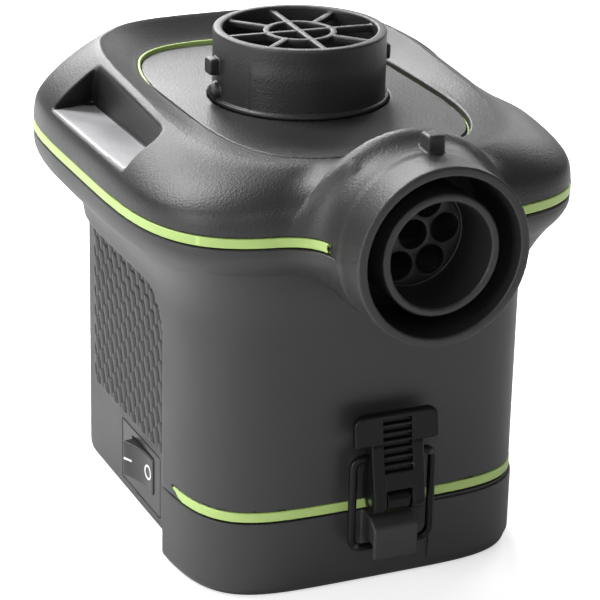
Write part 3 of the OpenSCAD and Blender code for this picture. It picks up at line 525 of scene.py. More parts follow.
def hinge_lugs(x, y, z, skin):
    """Three lugs at the rear of the housing that hold the hinge pin of the door."""
    barrel = np.hypot(y - HINGE_Y, z - HINGE_Z) - HINGE_R + 0.4
    web = np.maximum(np.abs(z - HINGE_Z - 2.0) - 2.0, np.maximum(HINGE_Y - y, skin + 1.0))
    across = np.minimum(np.abs(x), np.abs(np.abs(x) - LUG_X)) - LUG_HALF
    return np.maximum(np.minimum(barrel, web), across)


def housing_field(x, y, z):
    """Lower moulding: lip, flare and tower, hollow and open at both ends."""
    skin = tower_outer(x, y, z)
    tube = collar(x, y, z)
    body = smin(skin, tube, mix(3.0, COLLAR_BLEND, smooth((z - 84.0) / 16.0)))
    body = smax(body, z - BAND_LOW + LIP_GAP, 0.5)
    body = smax(body, -z, FOOT_R)
    body = smax(body, -panel_cut(x, y, z, PANEL_X, PANEL_FRONT, PANEL_TOP, PANEL_R), 0.8)
    body = smax(body, -np.maximum(y - PANEL_FRONT, z - SEAM_Z - 2 * SKIN_GAP), 0.35)
    body = np.maximum(body, -np.maximum(strip_slot(y, z, 0.05), -STRIP_DEPTH - skin))
    side = np.minimum(np.minimum(y - CELL_FRONT, np.abs(x) - CELL_HALF), CELL_TOP - z)
    hollow = np.maximum(skin + WALL + 0.2, side)
    ledge = np.maximum(np.abs(z - LEDGE_Z) - 1.0, -3.0 - hollow)
    hollow = np.maximum(hollow, -ledge)
    shell = np.maximum(body, -hollow)
    shell = np.maximum(shell, -tube - FILLET_OVERLAP)
    seat, hole = switch_opening(x, y, z)
    shell = np.maximum(smax(shell, -seat, 0.3), -hole)
    return np.minimum(shell, hinge_lugs(x, y, z, skin))


def tower_skin(x, y):
    """Distance outside the straight part of the tower."""
    return squircle(x, y, TOWER_A, TOWER_B, 0.0, TOWER_N)


def strip_field(x, y, z):
    """Lower band, a touch proud of the tower."""
    skin = tower_skin(x, y)
    return smax(np.maximum(skin - 0.15, -1.0 - skin), strip_slot(y, z, 0.0), 0.2)


DOOR_PLATE = 2.2                 # thickness of the door's bottom plate
KNUCKLE_X = 14.5                 # hinge knuckles of the door, between the lugs
KNUCKLE_HALF = 10.0
PIN_R = 1.6                      # bore for the hinge pin
LATCH_X = 1.8
CATCH_Y = -64.6                  # catch for the latch on the door's front
CATCH_HALF = 6.3


def door_knuckles(x, y, z, turn):
    """Two knuckles of the hinge with their webs down to the plate; turn is the distance from the pin."""
    web = np.maximum(np.maximum(HINGE_Y - 4.2 - y, y - HINGE_Y), np.maximum(z - HINGE_Z, 1.0 - z))
    return np.maximum(np.minimum(turn - HINGE_R, web), np.abs(np.abs(x) - KNUCKLE_X) - KNUCKLE_HALF)


def door_catch(x, y, z):
    """Sloped catch on the door's front, with the slot that the bail hooks into."""
    low = (LATCH_X - CATCH_HALF, CATCH_Y, 10.0)
    high = (LATCH_X + CATCH_HALF, -TOWER_B + 1, SEAM_Z - 0.1)
    catch = box_field(x, y, z, low, high, 0.7)
    slope = (z - SEAM_Z + 2.6) * 0.82 - (y - CATCH_Y) * 0.57
    slot_low = (LATCH_X - 10, CATCH_Y + 1.4, 5.0)
    slot_high = (LATCH_X + 10, -TOWER_B - 1.2, 14.15)
    return smax(smax(catch, slope, 0.8), -box_field(x, y, z, slot_low, slot_high), 0.4)


def door_field(x, y, z):
    """Door: front lip of the tower, bottom plate, hinge knuckles and the catch of the latch."""
    skin = tower_skin(x, y)
    front = smax(smax(skin, -z, FOOT_R), z - SEAM_Z + SKIN_GAP, 0.35)
    front = smax(front, y - PANEL_FRONT + 2 * SKIN_GAP, 0.35)
    side = np.minimum(y - PANEL_FRONT + WALL, np.abs(x) - CELL_HALF + 0.5)
    hollow = np.maximum(np.maximum(skin + WALL, side), DOOR_PLATE - z)
    front = np.maximum(front, -hollow)
    plate = np.maximum(skin + WALL + 0.3, np.abs(x) - CELL_HALF + 0.3)
    plate = np.maximum(np.maximum(plate, y - HINGE_Y), PANEL_FRONT - 1 - y)
    plate = smax(plate, np.abs(z - DOOR_PLATE / 2) - DOOR_PLATE / 2, 0.3)
    door = np.minimum(front, plate)
    # room for the hinge lugs of the housing
    notch_half = LUG_HALF + LUG_SLACK
    lug_gap = np.minimum(np.abs(x) - notch_half, LUG_X - notch_half - np.abs(x))
    door = np.maximum(door, -np.maximum(lug_gap, HINGE_Y - HINGE_R - y))
    turn = np.hypot(y - HINGE_Y, z - HINGE_Z)
    door = smin(door, door_knuckles(x, y, z, turn), 0.3)
    door = np.maximum(door, PIN_R - turn)
    return smin(door, door_catch(x, y, z), 0.5)


def badge_field(x, y, z):
    """Plain raised pad on the door's front, right round the corner."""
    skin = tower_skin(x, y)
    pad = smax(skin - 0.65, -skin, 0.3)
    frame_xz = smax(np.maximum(15.0 - x, y - PANEL_FRONT + 8.0), np.abs(z - 12.0) - 8.6, 1.2)
    return smax(pad, frame_xz, 0.45)


# ---------------------------------------- top plate and intake

def plate_field(x, y, z):
    """Flat plate inside the dish, with a hole for the intake collar."""
    edge = squircle(x, y, LABEL_A - 0.08, LABEL_B - 0.08, 0.0, RIDGE_N)
    flat = np.maximum(z - LABEL_Z, LABEL_Z - LABEL_T - z)
    return smax(smax(edge, flat, 0.25), PORT_R + 1.2 - np.hypot(x, y), 0.2)


def plate_ring_field(x, y, z):
    """Thin ring round the top plate, standing up only towards the back."""
    edge = squircle(x, y, LABEL_A, LABEL_B, 0.0, RIDGE_N)
    top = mix(LABEL_Z - 0.2 - 0.7 * smooth(x / 15.0), DISH_Z + 0.35, smooth((y - 16.0) / 26.0))
    ring = np.maximum(edge - TRIM_W + 0.05, 0.03 - edge)
    return smax(ring, np.maximum(z - top, LABEL_Z - LABEL_T - z), 0.2)


def turned_xy(x, y, angle):
    """Coordinates along and across a direction at an angle in degrees."""
    c = math.cos(math.radians(angle))
    s = math.sin(math.radians(angle))
    return x * c + y * s, y * c - x * s


INTAKE_FOOT = 112.3              # lower end of the collar, under its flange
BEAD_Z = 118.1                   # bead round its foot
THICK_FROM = -147.0              # the wall is thicker between these angles
THICK_TO = -35.0
THICK_TOP = 130.0                # and below this height
LUG_LOW = 125.2                  # lower and upper end of the bayonet lugs
LUG_HIGH = 129.6
DETENT_Z = 120.6
DETENT_R = 2.6
GRILLE_R = 8.95                  # hub ring of the grille
GRILLE_Z = RIM_Z - 1.85
GRILLE_TURN = -3.0               # the grille is turned by this angle
BAR_HALF = 0.9                   # half the width of its bars


def grille(x, y, z, r):
    """Hub ring with eight spokes outside it and a cross inside it."""
    bars = np.abs(r - GRILLE_R) - 0.85
    for k in range(8):
        along, across = turned_xy(x, y, 45.0 * k + GRILLE_TURN)
        reach = np.maximum(9.0 - along, along - PORT_IN - 0.5)
        bars = smin(bars, np.maximum(np.abs(across) - BAR_HALF, reach), 0.5)
    for bar_angle in (GRILLE_TURN, GRILLE_TURN + 90.0):
        along, across = turned_xy(x, y, bar_angle)
        bars = smin(bars, np.maximum(np.abs(across) - BAR_HALF, np.abs(along) - 9.0), 0.5)
    return smax(bars, np.abs(z - GRILLE_Z) - 0.95, 0.5)


def intake_field(x, y, z):
    """Intake collar with its rim, lugs, detent, thicker front sector and grille."""
    r = np.hypot(x, y)
    angle = np.degrees(np.arctan2(y, x))
    sector = np.maximum(THICK_FROM - angle, angle - THICK_TO) * 0.40
    thick = smooth(0.5 - sector / 1.4) * smooth((THICK_TOP - z) / 5.0 + 0.5)
    wall_r = PORT_R + 0.05 + 0.38 * thick
    collar_body = smax(r - wall_r, z - RIM_Z, 0.9)
    bead = smax(r - PORT_R - 1.0, np.abs(z - BEAD_Z) - 0.6, 0.5)
    flange = np.maximum(r - PORT_R - 4.0, np.abs(z - INTAKE_FOOT - 0.9) - 0.9)
    body = smin(collar_body, bead, 0.4)
    body = np.maximum(np.minimum(body, flange), INTAKE_FOOT - z)
    for side, lug_y in ((-1, 1.2), (1, -0.4)):
        inner = side * (PORT_R - 1.0)
        outer = side * (PORT_R + LUG_REACH)
        low = (min(inner, outer), lug_y - LUG_SIZE / 2, LUG_LOW)
        high = (max(inner, outer), lug_y + LUG_SIZE / 2, LUG_HIGH)
        body = smin(body, box_field(x, y, z, low, high, 0.9), 0.4)
    detent = np.sqrt((x + PORT_R) ** 2 + (y - 0.8) ** 2 + (z - DETENT_Z) ** 2) - DETENT_R
    body = smin(body, detent, 0.5)
    body = smax(body, PORT_IN - r, 0.7)
    return smin(body, grille(x, y, z, r), 0.5)


# ---------------------------------------- latch

PIVOT_Y = -63.0                  # pin that the lever turns on
PIVOT_Z = 26.5
BAIL_Y = -60.9                   # the wire bail turns in the lever here
BAIL_Z = 38.1
STEM_HALF = 7.3                  # half width of the lever's stem
FLANGE_IN = 3.7                  # its side flanges start here
TAB_HALF = 12.0                  # half width of the thumb tab
TAB_Z = 42.2                     # lower edge of the tab
LEVER_TOP = 50.6
GROOVE_Z = 34.9                  # lowest finger groove, and the pitch of the others
GROOVE_STEP = 2.12
LATCH_PIN_R = 1.05               # bore for the lever's pin
BAIL_R = 1.15                    # bore for the bail
ARM_HALF = 3.2                   # half width of the bracket's arm and barrel


def lever_face(z):
    """Front surface of the lever, leaning back as it rises."""
    return -65.8 + 0.179 * (np.minimum(z, TAB_Z) - 29.6) + 0.11 * np.maximum(z - TAB_Z, 0.0)


def lever_field(x, y, z):
    """Latch lever: thumb tab, grooved stem, side flanges and ears round the pin."""
    out = np.abs(x - LATCH_X)
    face = lever_face(z) - y
    web = smax(face, -face - 2.3, 0.5)
    stem = np.maximum(out - STEM_HALF, np.maximum(29.8 - z, z - TAB_Z - 1))
    tab = smax(out - TAB_HALF, np.maximum(z - LEVER_TOP, TAB_Z - z), 1.0)
    corner_r = 3.0
    round_x = out - TAB_HALF + corner_r
    round_z = z - LEVER_TOP + corner_r
    corner = np.where((round_x > 0) & (round_z > 0), np.hypot(round_x, round_z) - corner_r, -5.0)
    sheet = smax(smin(stem, np.maximum(tab, corner), 0.4), web, 0.8)
    sides = np.maximum(out - STEM_HALF, FLANGE_IN - out)
    flange = np.maximum(sides, np.maximum(z - TAB_Z, PIVOT_Z - z))
    flange = smax(flange, np.maximum(face, y + 59.2), 0.7)
    ear = smax(np.hypot(y - PIVOT_Y, z - PIVOT_Z) - 3.3, sides, 0.7)
    lever = smin(sheet, np.minimum(flange, ear), 0.5)
    for k in range(7):
        low = (LATCH_X - 4.1, -70.0, GROOVE_Z + GROOVE_STEP * k)
        groove = box_field(x, y, z, low, (LATCH_X + 4.1, -50.0, low[2] + 1.4), 0.35)
        lever = smax(lever, -np.maximum(groove, -face - 1.4), 0.3)
    lever = np.maximum(lever, LATCH_PIN_R - np.hypot(y - PIVOT_Y, z - PIVOT_Z))
    return np.maximum(lever, BAIL_R - np.hypot(y - BAIL_Y, z - BAIL_Z))


def bracket_field(x, y, z):
    """Latch bracket on the tower, with the barrel that the lever turns on."""
    out = np.abs(x - LATCH_X)
    foot = STRIP_Z + STRIP_H + 0.3
    base = box_field(x, y, z, (LATCH_X - 6.4, -58.1, foot), (LATCH_X + 6.4, -56.6, 33.0), 0.5)
    arm = np.maximum(np.maximum(out - ARM_HALF, PIVOT_Y - y), np.abs(z - 27.0) - 2.2)
    arm = np.maximum(arm, y + 57.0)
    turn = np.hypot(y - PIVOT_Y, z - PIVOT_Z)
    barrel = smax(turn - 2.7, out - ARM_HALF, 0.4)
    body = smin(base, np.minimum(arm, barrel), 0.6)
    return np.maximum(body, LATCH_PIN_R - turn)


# ---------------------------------------- switch

ROCKER_X = -39.6                 # pivot of the rocker
ROCKER_Y = 5.1
ROCKER_Z = 13.15
ROCKER_L = 15.6
ROCKER_H = 10.3
ROCKER_TILT = 12.0
FACE_R = 25.2                    # hollow of the rocker's face
FACE_X = -3.8                    # middle of the face, seen from the pivot
MARK_Z = 13.3                    # height of the marks on it


def switch_field(x, y, z):
    """Switch bezel and body with the well of the rocker."""
    bezel_low = (BEZEL_BACK - 1.1, SWITCH_Y - BEZEL_Y, SWITCH_Z - BEZEL_Z)
    bezel_high = (BEZEL_BACK, SWITCH_Y + BEZEL_Y, SWITCH_Z + BEZEL_Z)
    bezel = box_field(x, y, z, bezel_low, bezel_high, 0.3)
    block_low = (-41.6, SWITCH_Y - 10, SWITCH_Z - 7.8)
    block_high = (-27, SWITCH_Y + 10, SWITCH_Z + 7.8)
    block = box_field(x, y, z, block_low, block_high, 0.3)
    well_y = np.abs(y - ROCKER_Y) - ROCKER_L / 2 - 0.7
    well_z = np.abs(z - ROCKER_Z) - ROCKER_H / 2 - 0.3
    well = np.maximum(smax(well_y, well_z, 0.4), x + 33.5)
    return smax(np.minimum(bezel, block), -well, 0.3)


def rocker_face(x, y):
    """Outside of the rocker's concave face, and the distance along it."""
    along, across = turned_xy(x - ROCKER_X, y - ROCKER_Y, ROCKER_TILT)
    return FACE_R - np.hypot(along - FACE_X + FACE_R, across), along, across


def rocker_field(x, y, z):
    """Rocker with its hollow face and its pins."""
    face, along, across = rocker_face(x, y)
    height = np.abs(z - ROCKER_Z) - ROCKER_H / 2
    body = smax(np.abs(across) - ROCKER_L / 2, np.maximum(FACE_X - 0.9 - along, along - 2.6), 0.4)
    body = smax(body, face, 0.3)
    body = smax(body, height, 0.4)
    pin = np.maximum(np.hypot(along, across) - 1.2, height - 1.1)
    return np.minimum(body, pin)


def marks_field(x, y, z):
    """Printed bar and ring on the rocker's face."""
    face, along, across = rocker_face(x, y)
    skin = smax(face - 0.06, -face - 0.25, 0.05)
    bar = np.maximum(np.abs(across - 5.6) - 1.5, np.abs(z - MARK_Z) - 0.28)
    ring = np.abs(np.hypot(across + 4.4, z - MARK_Z) - 1.9) - 0.27
    return np.maximum(skin, np.minimum(bar, ring))


# ---------------------------------------- grip pads

PAD_LOW = 23.0                   # lower and rear edge of the pads
PAD_BACK = 43.2
SCALE_Y = 3.6                    # pitch of the columns of scales
SCALE_Z = 6.0                    # pitch of the scales in a column
SCALE_H = 0.95                   # how far they stand out


def scale_height(y, z):
    """Columns of drop-shaped scales, each column shifted half a pitch from the next."""
    column = np.round(y / SCALE_Y)
    across = (y - column * SCALE_Y) / (SCALE_Y / 2)
    rise = (z / SCALE_Z + 0.5 * np.mod(column, 2)) % 1.0
    width = mix(0.62, 0.98, smooth(rise * 1.3))
    head = np.clip((rise - 0.78) / 0.22, 0.0, 1.0)
    width = width * np.sqrt(np.maximum(1.0 - head ** 2, 0.0))
    crown = np.sqrt(np.maximum(1.0 - (across / np.maximum(width, 0.05)) ** 2, 0.0))
    return crown * mix(0.45, 1.0, smooth(rise * 1.2))


def pad_field(x, y, z):
    """Soft pad on a side panel, covered with scales inside a plain rim."""
    outline = panel_cut(x, y, z, -1000.0, PANEL_FRONT + 0.8, PANEL_TOP - 1.0, PANEL_R - 1.0)
    edge = np.maximum(np.maximum(outline, PAD_LOW - z), y - PAD_BACK)
    inside = smooth((-edge - 0.7) / 0.8)
    front = np.abs(x) - PANEL_X - 0.35 - SCALE_H * inside * scale_height(y, z)
    return smax(np.maximum(front * 0.8, PANEL_X + 0.02 - np.abs(x)), edge, 0.25)


# ---------------------------------------- materials

def add_node(tree, kind, **values):
    """Shader node with its settings and inputs given by name."""
    node = tree.nodes.new(kind)
    for key, value in values.items():
        if hasattr(node, key):
            setattr(node, key, value)
        else:
            node.inputs[key.replace("_", " ")].default_value = value
    return node


def calculate(tree, operation, first, second=None):
    """Output of a math node on one output and, where given, on a number or a second output."""
    node = add_node(tree, "ShaderNodeMath", operation=operation)
    tree.links.new(first, node.inputs[0])
    if isinstance(second, float):
        node.inputs[1].default_value = second
    elif second is not None:
        tree.links.new(second, node.inputs[1])
    return node.outputs[0]


EDGE_FROM = 0.53                 # pointiness where the painted highlight on edges starts
EDGE_TO = 0.62                   # and where it reaches full strength


def grained(name, colour, rough, grain, depth, metal=0.0, mottle=0.12, edge=0.25, gloss=0.5):
    """Moulded or metal surface: fine grain, slow variation in colour and sheen, edges painted paler as a
    highlight.

    grain is the size of the grain in mm, depth its height in mm, mottle the variation of the
    colour, edge the brightness painted on edges as a highlight and gloss the strength of the reflections.
    """
    material = bpy.data.materials.new(name)
    material.use_nodes = True
    tree = material.node_tree
    link = tree.links.new
    surface = tree.nodes["Principled BSDF"]
    surface.inputs["Metallic"].default_value = metal
    surface.inputs["Specular IOR Level"].default_value = gloss
    place = add_node(tree, "ShaderNodeTexCoord")
    cells = add_node(tree, "ShaderNodeTexVoronoi", Scale=1.0 / (grain * MM))
    fine = add_node(tree, "ShaderNodeTexNoise", Scale=2.3 / (grain * MM), Detail=3.0)
    slow = add_node(tree, "ShaderNodeTexNoise", Scale=45.0, Detail=4.0)
    for texture in (cells, fine, slow):
        link(place.outputs["Object"], texture.inputs["Vector"])
    height = calculate(tree, "ADD", cells.outputs["Distance"], fine.outputs["Fac"])
    bump = add_node(tree, "ShaderNodeBump", Strength=1.0, Distance=depth * MM)
    link(height, bump.inputs["Height"])
    link(bump.outputs["Normal"], surface.inputs["Normal"])
    shade = add_node(tree, "ShaderNodeMapRange", To_Min=1.0 - mottle, To_Max=1.0 + mottle)
    link(slow.outputs["Fac"], shade.inputs["Value"])
    geometry = add_node(tree, "ShaderNodeNewGeometry")
    # convex edges found by pointiness are made paler: a painted highlight added to the colour
    edge_highlight = add_node(tree, "ShaderNodeMapRange", From_Min=EDGE_FROM, From_Max=EDGE_TO, To_Max=edge)
    link(geometry.outputs["Pointiness"], edge_highlight.inputs["Value"])
    tone = calculate(tree, "ADD", shade.outputs[0], edge_highlight.outputs[0])
    tint = add_node(tree, "ShaderNodeVectorMath", operation="SCALE")
    tint.inputs[0].default_value = colour
    link(tone, tint.inputs["Scale"])
    link(tint.outputs[0], surface.inputs["Base Color"])
    sheen = add_node(tree, "ShaderNodeMapRange", To_Min=rough - 0.07, To_Max=rough + 0.07)
    link(slow.outputs["Fac"], sheen.inputs["Value"])
    link(sheen.outputs[0], surface.inputs["Roughness"])
    return material


CELL_SCALE = 30.0                # mm from the middle of a cell where the ramp of its colours ends
BAND_FROM = 0.62                 # share of that where the coloured band starts
TIP_FROM = 0.79                  # and where the bare tip starts


def cell_jacket():
    """Wrapped battery cells: dark sleeve, brass-coloured bands near both ends and bare metal tips."""
    material = grained("cell_jacket_mat", (0.03, 0.035, 0.04), 0.35, 1.5, 0.01)
    tree = material.node_tree
    link = tree.links.new
    low, high = mm_box("battery_cells")
    middle = float(low[2] + high[2]) / 2 * MM
    place = add_node(tree, "ShaderNodeTexCoord")
    split = add_node(tree, "ShaderNodeSeparateXYZ")
    link(place.outputs["Object"], split.inputs[0])
    offset = calculate(tree, "SUBTRACT", split.outputs["Z"], middle)
    away = calculate(tree, "ABSOLUTE", offset)
    ramp = add_node(tree, "ShaderNodeValToRGB")
    ramp.color_ramp.interpolation = "CONSTANT"
    link(calculate(tree, "MULTIPLY", away, 1.0 / (CELL_SCALE * MM)), ramp.inputs[0])
    stops = ramp.color_ramp.elements
    stops[0].position = 0.0
    stops[0].color = (0.03, 0.035, 0.04, 1)
    stops[1].position = BAND_FROM
    stops[1].color = (0.62, 0.38, 0.14, 1)
    tip = stops.new(TIP_FROM)
    tip.color = (0.6, 0.6, 0.62, 1)
    link(ramp.outputs[0], tree.nodes["Principled BSDF"].inputs["Base Color"])
    return material


MATERIALS = {
    "head_plastic": grained("head_plastic_mat", (0.0135, 0.0135, 0.0145), 0.44, 0.62, 0.05, edge=0.4),
    "tower_plastic": grained("tower_plastic_mat", (0.021, 0.021, 0.0225), 0.50, 0.34, 0.010, edge=0.5),
    "green_plastic": grained("green_plastic_mat", (0.36, 0.50, 0.15), 0.42, 0.5, 0.006, mottle=0.06),
    "grip_rubber": grained("grip_rubber_mat", (0.026, 0.026, 0.028), 0.52, 0.3, 0.010, edge=0.8),
    # edge=9.0 paints strong highlights on the latch's edges
    "latch_plastic": grained("latch_plastic_mat", (0.0045, 0.0045, 0.005), 0.30, 0.4, 0.006,
                             edge=9.0, gloss=0.18),
    "switch_plastic": grained("switch_plastic_mat", (0.014, 0.014, 0.015), 0.42, 0.35, 0.008, edge=0.4),
    "fan_plastic": grained("fan_plastic_mat", (0.03, 0.03, 0.032), 0.45, 0.7, 0.02),
    "impeller_plastic": grained("impeller_plastic_mat", (0.70, 0.70, 0.66), 0.40, 0.6, 0.008, mottle=0.05),
    "steel": grained("steel_mat", (0.56, 0.57, 0.58), 0.30, 0.25, 0.006, metal=1.0),
    "brass": grained("brass_mat", (0.72, 0.52, 0.24), 0.32, 0.3, 0.006, metal=1.0),
    "copper": grained("copper_mat", (0.70, 0.30, 0.15), 0.34, 0.35, 0.02, metal=1.0),
    "carbon": grained("carbon_mat", (0.015, 0.015, 0.016), 0.62, 0.2, 0.02),
    "magnet": grained("magnet_mat", (0.05, 0.05, 0.055), 0.55, 0.3, 0.02),
    "cell_jacket": cell_jacket(),
    "wire_red": grained("wire_red_mat", (0.45, 0.02, 0.02), 0.38, 0.4, 0.006),
    "wire_black": grained("wire_black_mat", (0.015, 0.015, 0.016), 0.38, 0.4, 0.006),
}
# pale mottled colour painted on the pocket floors as a highlight, standing in for a reflection
POCKET_HIGHLIGHT = grained("pocket_highlight_mat", (0.34, 0.34, 0.35), 0.38, 0.9, 0.03, mottle=0.5)
PRINT_WHITE = grained("print_white_mat", (0.86, 0.86, 0.86), 0.5, 0.2, 0.004, mottle=0.03)


# ---------------------------------------- pieces

REPLACED = set()                 # CAD nodes that a moulded piece stands for


def add_piece(node, body, slot, field, cell, low=None, high=None):
    """Moulded piece that stands for a CAD node, filling its box unless other corners are given."""
    box_low, box_high = mm_box(node)
    low = box_low if low is None else low
    high = box_high if high is None else high
    piece = moulded(node + "_form", field, low, high, cell)
    piece.data.materials.append(MATERIALS[slot])
    REPLACED.add(node)
    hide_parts(node)
    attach(piece, body)
    return piece


def paint_pocket_floors(cover):
    """Gives the floors of the finger pockets their own, paler material: a painted highlight in place of
    the bright reflection off them.
    """
    cover.data.materials.append(POCKET_HIGHLIGHT)
    count = len(cover.data.polygons)
    centre = np.empty(count * 3, np.float32)
    normal = np.empty(count * 3, np.float32)
    cover.data.polygons.foreach_get("center", centre)
    cover.data.polygons.foreach_get("normal", normal)
    x, y, z = centre.reshape(-1, 3).T / MM
    inside = (np.abs(x) > POCKET_X + 0.3) & (y > POCKET_FRONT) & (y < POCKET_BACK)
    floor_z = POCKET_Z + POCKET_CLIMB * (np.abs(x) - POCKET_X)
    floor = inside & (np.abs(z - floor_z) < 0.2) & (normal.reshape(-1, 3)[:, 2] > 0.975)
    cover.data.polygons.foreach_set("material_index", floor.astype(np.int32))


paint_pocket_floors(add_piece("top_cover", "case", "head_plastic", cover_field, 0.6))
add_piece("head_trim", "case", "green_plastic", band_field, 0.45,
          low=(-HEAD_A - 0.5, -76.0, BAND_LOW), high=(HEAD_A + 0.5, TRIM_HIGH[1] + 0.5, BAND_HIGH))
add_piece("main_housing", "case", "tower_plastic", housing_field, 0.75,
          low=(-HEAD_A, -82.0, 0.0), high=(HEAD_A, TRIM_HIGH[1], BAND_LOW))
add_piece("lower_trim", "case", "green_plastic", strip_field, 0.4)
add_piece("battery_door", "door", "tower_plastic", door_field, 0.5)
add_piece("door_badge", "door", "tower_plastic", badge_field, 0.35)
add_piece("label_plate", "case", "head_plastic", plate_field, 0.6)
add_piece("label_trim", "case", "green_plastic", plate_ring_field, 0.33,
          high=(LABEL_A + TRIM_W, LABEL_B + TRIM_W, DISH_Z + 0.7))
add_piece("intake_port", "case", "head_plastic", intake_field, 0.4)
add_piece("latch_lever", "lever", "latch_plastic", lever_field, 0.28)
add_piece("latch_bracket", "case", "latch_plastic", bracket_field, 0.35)
add_piece("switch_body", "case", "switch_plastic", switch_field, 0.4)
add_piece("switch_rocker", "rocker", "switch_plastic", rocker_field, 0.3)
pad_front, pad_low = PANEL_FRONT + 0.3, PAD_LOW - 0.3
pad_in, pad_out, pad_back = PANEL_X - 0.3, PANEL_X + 1.6, PAD_BACK + 0.4
add_piece("right_grip_pad", "case", "grip_rubber", pad_field, 0.3,
          low=(pad_in, pad_front, pad_low), high=(pad_out, pad_back, PANEL_TOP))
add_piece("left_grip_pad", "case", "grip_rubber", pad_field, 0.3,
          low=(-pad_out, pad_front, pad_low), high=(-pad_in, pad_back, PANEL_TOP))

rocker_low, rocker_high = mm_box("switch_rocker")
marks = moulded("rocker_marks", marks_field, rocker_low - 0.5, rocker_high + 0.5, 0.12)
marks.data.materials.append(PRINT_WHITE)
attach(marks, "rocker")


# ---------------------------------------- CAD nodes that stay

SHARP_ANGLE = 35                 # edges over this many degrees stay sharp
BEVEL_ANGLE = 40                 # and edges over this many get a bevel
BEVEL = 0.22                     # its width
WELD = 0.002                     # points closer than this are joined first


def edge_smoothing():
    """Modifier group that shades faces smooth and keeps the sharp edges sharp."""
    group = bpy.data.node_groups.new("smooth_by_angle", "GeometryNodeTree")
    group.interface.new_socket("Geometry", in_out="INPUT", socket_type="NodeSocketGeometry")
    group.interface.new_socket("Geometry", in_out="OUTPUT", socket_type="NodeSocketGeometry")
    start = group.nodes.new("NodeGroupInput")
    end = group.nodes.new("NodeGroupOutput")
    faces = group.nodes.new("GeometryNodeSetShadeSmooth")
    faces.domain = "FACE"
    edges = group.nodes.new("GeometryNodeSetShadeSmooth")
    edges.domain = "EDGE"
    edges.inputs["Shade Smooth"].default_value = False
    angle = group.nodes.new("GeometryNodeInputMeshEdgeAngle")
    sharp = group.nodes.new("FunctionNodeCompare")
    sharp.operation = "GREATER_THAN"
    sharp.inputs[1].default_value = math.radians(SHARP_ANGLE)
    link = group.links.new
    link(angle.outputs["Unsigned Angle"], sharp.inputs[0])
    link(sharp.outputs[0], edges.inputs["Selection"])
    link(start.outputs[0], faces.inputs["Geometry"])
    link(faces.outputs[0], edges.inputs["Geometry"])
    link(edges.outputs[0], end.inputs[0])
    return group


SMOOTH_GROUP = edge_smoothing()


def dress(node, material):
    """Softened edges and a real surface for a CAD node that keeps its shape."""
    weld = node.modifiers.new("weld", "WELD")
    weld.merge_threshold = WELD * MM
    bevel = node.modifiers.new("bevel", "BEVEL")
    bevel.width = BEVEL * MM
    bevel.segments = 2
    bevel.limit_method = "ANGLE"
    bevel.angle_limit = math.radians(BEVEL_ANGLE)
    shading = node.modifiers.new("shading", "NODES")
    shading.node_group = SMOOTH_GROUP
    for index in range(len(node.data.materials)):
        node.data.materials[index] = material
    if not node.data.materials:
        node.data.materials.append(material)


for subpart in frame["record"]["subparts"]:
    if subpart["node"] not in REPLACED:
        dress(frame["nodes"][subpart["node"]], MATERIALS[subpart["material_slot"]])


# ---------------------------------------- stage, light and camera

CENTRE = (0.0, 0.0, 0.07)        # middle of the object, in metres
FLOOR_HALF = 6.0                 # half the floor's width, in metres
FLOOR_LIFT = 0.55                # keeps the floor white to the camera without lighting the object
WORLD_LIGHT = 0.24               # strength of the surroundings


def area_light(name, place, size, power):
    """Square soft box that shines at the middle of the object; place and size in metres."""
    light = bpy.data.lights.new(name, "AREA")
    light.size = size
    light.energy = power
    lamp = bpy.data.objects.new(name, light)
    lamp.location = place
    bpy.context.scene.collection.objects.link(lamp)
    lamp.rotation_euler = (Vector(CENTRE) - lamp.location).to_track_quat("-Z", "Y").to_euler()


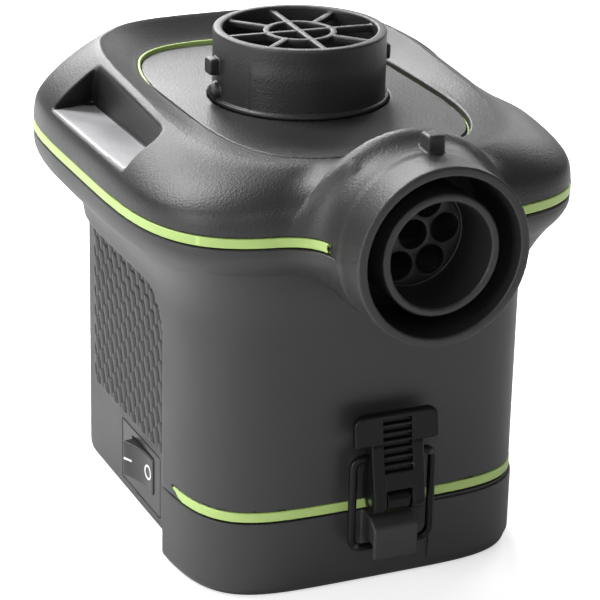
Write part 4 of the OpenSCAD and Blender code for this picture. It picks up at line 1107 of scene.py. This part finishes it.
def pale_floor():
    """Plain white floor with a very faint mottle."""
    corners = np.array([(-1, -1, 0), (1, -1, 0), (1, 1, 0), (-1, 1, 0)]) * FLOOR_HALF / MM
    floor = new_mesh("floor", corners, np.array([[0, 1, 2, 3]]))
    material = grained("floor_mat", (0.86, 0.86, 0.86), 0.7, 3.0, 0.01, mottle=0.01, edge=0.0)
    tree = material.node_tree
    surface = tree.nodes["Principled BSDF"]
    surface.inputs["Emission Color"].default_value = (1, 1, 1, 1)
    path = add_node(tree, "ShaderNodeLightPath")
    lift = calculate(tree, "MULTIPLY", path.outputs["Is Camera Ray"], FLOOR_LIFT)
    tree.links.new(lift, surface.inputs["Emission Strength"])
    floor.data.materials.append(material)


AZIMUTH = -24.33                 # camera, in degrees
ELEVATION = 21.73
ROLL = 1.39
LENS = 150.4                     # in mm, for a sensor 36 mm wide
DISTANCE = 0.661                 # from the target, in metres
DROP = 0.0721                    # the camera's axis passes this far below the target


def photo_camera():
    """Camera at the photograph's viewing angle: from the left and above, slightly rolled."""
    azimuth = math.radians(AZIMUTH)
    elevation = math.radians(ELEVATION)
    roll = math.radians(ROLL)
    level = math.cos(elevation)
    back = Vector((math.sin(azimuth) * level, -math.cos(azimuth) * level, math.sin(elevation)))
    right = Vector((math.cos(azimuth), math.sin(azimuth), 0.0))
    up = back.cross(right)
    side = right * math.cos(roll) + up * math.sin(roll)
    top = up * math.cos(roll) - right * math.sin(roll)
    target = Vector((0.0, 0.0, RIM_Z * MM))
    data = bpy.data.cameras.new("camera")
    data.sensor_width = 36.0
    data.lens = LENS
    data.clip_start = 0.05
    camera = bpy.data.objects.new("camera", data)
    camera.matrix_world = Matrix((side, top, back)).transposed().to_4x4()
    camera.matrix_world.translation = target + back * DISTANCE - top * DROP
    bpy.context.scene.collection.objects.link(camera)
    bpy.context.scene.camera = camera


def studio_world():
    """Even white surroundings, dim enough to leave the shading to the soft boxes."""
    world = bpy.data.worlds.new("studio")
    world.use_nodes = True
    background = world.node_tree.nodes["Background"]
    background.inputs["Color"].default_value = (1, 1, 1, 1)
    background.inputs["Strength"].default_value = WORLD_LIGHT
    bpy.context.scene.world = world
    bpy.context.scene.view_settings.view_transform = "Standard"


pale_floor()
area_light("key", (-0.42, 0.42, 0.95), 0.5, 15.0)
area_light("left", (-1.05, -0.30, 0.42), 0.6, 7.0)
area_light("front", (-0.35, -1.0, 0.62), 0.5, 2.2)
area_light("right_back", (0.75, 0.62, 0.55), 0.4, 2.5)
area_light("back", (0.12, 1.0, 0.58), 0.6, 10.0)
studio_world()
photo_camera()
